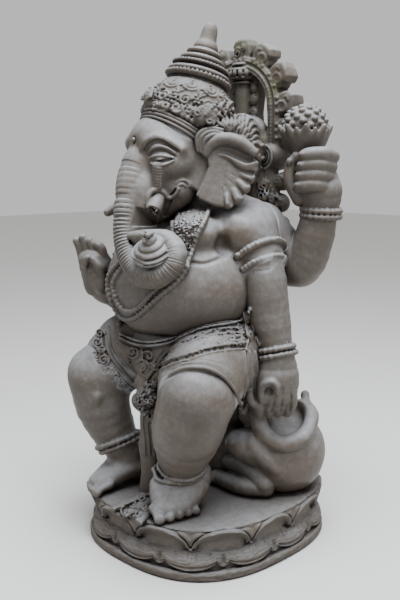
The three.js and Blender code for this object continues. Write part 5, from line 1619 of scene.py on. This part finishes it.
LEAF_REACH = 135.0
CURLED_LEAF = [(-20, 84), (20, 84), (24, 106), (23, 122), (15, LEAF_REACH - 1), (0, LEAF_REACH),
               (-15, LEAF_REACH - 3), (-22, 121), (-17, 112), (-22, 104)]
for k in range(-4, 5):
    on_leg = abs(k) == 4
    lean = math.copysign(90, k) if on_leg else 29 * k
    spin = rotation((0, lean, 0))
    base = np.array([0, HALO_PLANE, HALO_CENTRE - (44 if on_leg else 0)])
    flipped = -1 if k > 0 else 1
    plate(halo, [(u * flipped, v) for u, v in CURLED_LEAF], HALO_DEPTH - 4, (spin, base), 2.5, 7)
    at = spin @ np.array([-6.0 * flipped, -HALO_DEPTH / 2 + 2, 108]) + base
    flat_scroll(at, spin[:, 0] * flipped, spin[:, 2], 11.5, 3.0, way=1, start=-1.0)
    at = spin @ np.array([8.0 * flipped, -HALO_DEPTH / 2 + 2, 116]) + base
    flat_scroll(at, spin[:, 0] * flipped, spin[:, 2], 6.5, 2.4, way=-1, start=2.0, turns=1.2)
    for across in (-14, 0, 12):
        ring = spin @ np.array([across * flipped, -HALO_DEPTH / 2 + 1, 96 + abs(across) * 0.1]) + base
        ball(halo, ring, 4.2, blend=1)

# A beaded edge and a groove along the arch's front, and scrolls down its legs.
front_y = HALO_PLANE - HALO_DEPTH / 2 - 0.5
arch_line = [(-HALO_RADIUS, front_y, z) for z in range(760, 845, 12)]
arch_line += [(-HALO_RADIUS * math.cos(a), front_y, HALO_CENTRE + HALO_RADIUS * math.sin(a)) for a in arc]
arch_line += [(HALO_RADIUS, front_y, z) for z in range(841, 757, -12)]
centre_line = np.array(arch_line, float)
for shift, bead in ((-10.0, 0), (-4.0, 3.2), (7.0, 0)):
    line = centre_line.copy()
    away = line - (0, front_y, HALO_CENTRE)
    away[:, 2] = np.maximum(away[:, 2], 0)
    line += units(away) * shift
    cord(halo, line, 2.2, 1)
    if bead:
        beads(halo, line, bead, bead * 2.1)

# The column: a smooth shaft from behind the crown to a ribbed capital, with a carved plate beside it.
COLUMN_Y = 104.0
tube(halo, [(0, COLUMN_Y, 790, 17), (0, COLUMN_Y, 925, 17)], 2)
plate(halo, [(-40, -56), (40, -56), (36, -20), (41, 14), (34, 44), (26, 66), (-26, 66), (-34, 44), (-41, 14),
             (-36, -20)], 22, (np.eye(3), np.array([0, HALO_PLANE + 4, 856])), 2, 3)
for height, radius, thick in ((896, 24, 5), (905, 28, 6), (921, 28, 6), (931, 25, 5)):
    ball(halo, (0, COLUMN_Y, height), (radius, radius, thick), blend=1.2)
for k in range(14):
    round_it = 2 * math.pi * k / 14
    spot = (27 * math.sin(round_it), COLUMN_Y - 27 * math.cos(round_it), 913)
    ball(halo, spot, (5, 5, 7), blend=1)
for sign in (1, -1):
    for height, size in ((885, 9), (862, 10), (838, 10), (816, 9)):
        flat_scroll((sign * 29, HALO_PLANE - 8, height), (sign, 0, 0), (0, 0, 1), size, 2.4, start=1.5)

# The back plate behind the neck and shoulders.
tube(halo, [(0, 92, 800, 34), (0, 92, 720, 46), (0, 88, 640, 48), (0, 78, 560, 46)], 4, across=(1, 0, 0),
     wide=2.1)
for sign in (1, -1):
    for x, z, size in ((106, 706, 15), (102, 664, 15), (104, 622, 15)):
        ball(halo, (sign * x, 104, z), (size, 15, size * 1.2), blend=5)
        flat_scroll((sign * (x - 2), 89, z), (sign, 0, 0), (0, 0, 1), size * 0.8, 2.8, start=0.5)
    # Drum-shaped bosses with a wound face stand out beside the neck.
    tube(halo, [(sign * 84, 112, 752, 26), (sign * 84, 92, 752, 25)], 2)
    for reach in (22, 15, 8):
        cord(halo, hoop((sign * 84, 67, 752), (0, 1, 0), reach), 3.0, 1)
    ball(halo, (sign * 84, 68, 752), 5, blend=1.5)
    for x, z, size, way in ((66, 706, 13, 1), (84, 676, 13, -1), (62, 650, 13, 1), (84, 634, 11, -1)):
        spot = halo.skin([(sign * x, 20, z)], (0, 1, 0), 70)
        if len(spot):
            flat_scroll(spot[0], (sign, 0, 0.2), (0, 0, 1), size, 2.8, way=way, start=0.8)
    for k in range(5):
        x0 = 52 + 10 * k
        wave = [(sign * (x0 + 5 * math.sin(s * 3 + k)), 20, 730 - 60 * s) for s in np.linspace(0, 1, 9)]
        cord(halo, halo.skin(wave, (0, 1, 0), 90), 2.0, 1)

# What shows of the plate between the left ear and the raised hand is carved with waving lines.
WAVE_LEFT, WAVE_TOP, WAVE_LENGTH = 256, 176, 48
PLATE_SCROLLS = [(263, 186), (270, 200), (266, 214), (276, 222), (252, 160), (258, 168)]
for k in range(6):
    wave = [(WAVE_LEFT + 4.6 * k + 2.4 * math.sin(s * 9 + k), WAVE_TOP + 3.5 * k + WAVE_LENGTH * s)
            for s in np.linspace(0, 1, 12)]
    spots = halo.seen(wave)
    if len(spots) > 3:
        cord(halo, halo.lifted(spots, 0.5), 2.6, 1)
for spot in halo.seen(PLATE_SCROLLS):
    flat_scroll(spot, (0.75, 0.66, 0), (0, 0, 1), 11, 2.6, start=0.6)

# Behind, the plate is plain but for a border and a rib down its middle.
back_line = halo.skin([(0, 180, z) for z in range(590, 800, 14)], (0, -1, 0), 70)
cord(halo, back_line, 5, 3)
for sign in (1, -1):
    cord(halo, halo.skin([(sign * 70, 180, z) for z in range(600, 740, 14)], (0, -1, 0), 90), 3.5, 2)
halo.ripple(24, 0.7, 31)
halo.smooth()
set_in_stone(halo, "halo", halo_stone, 85000)
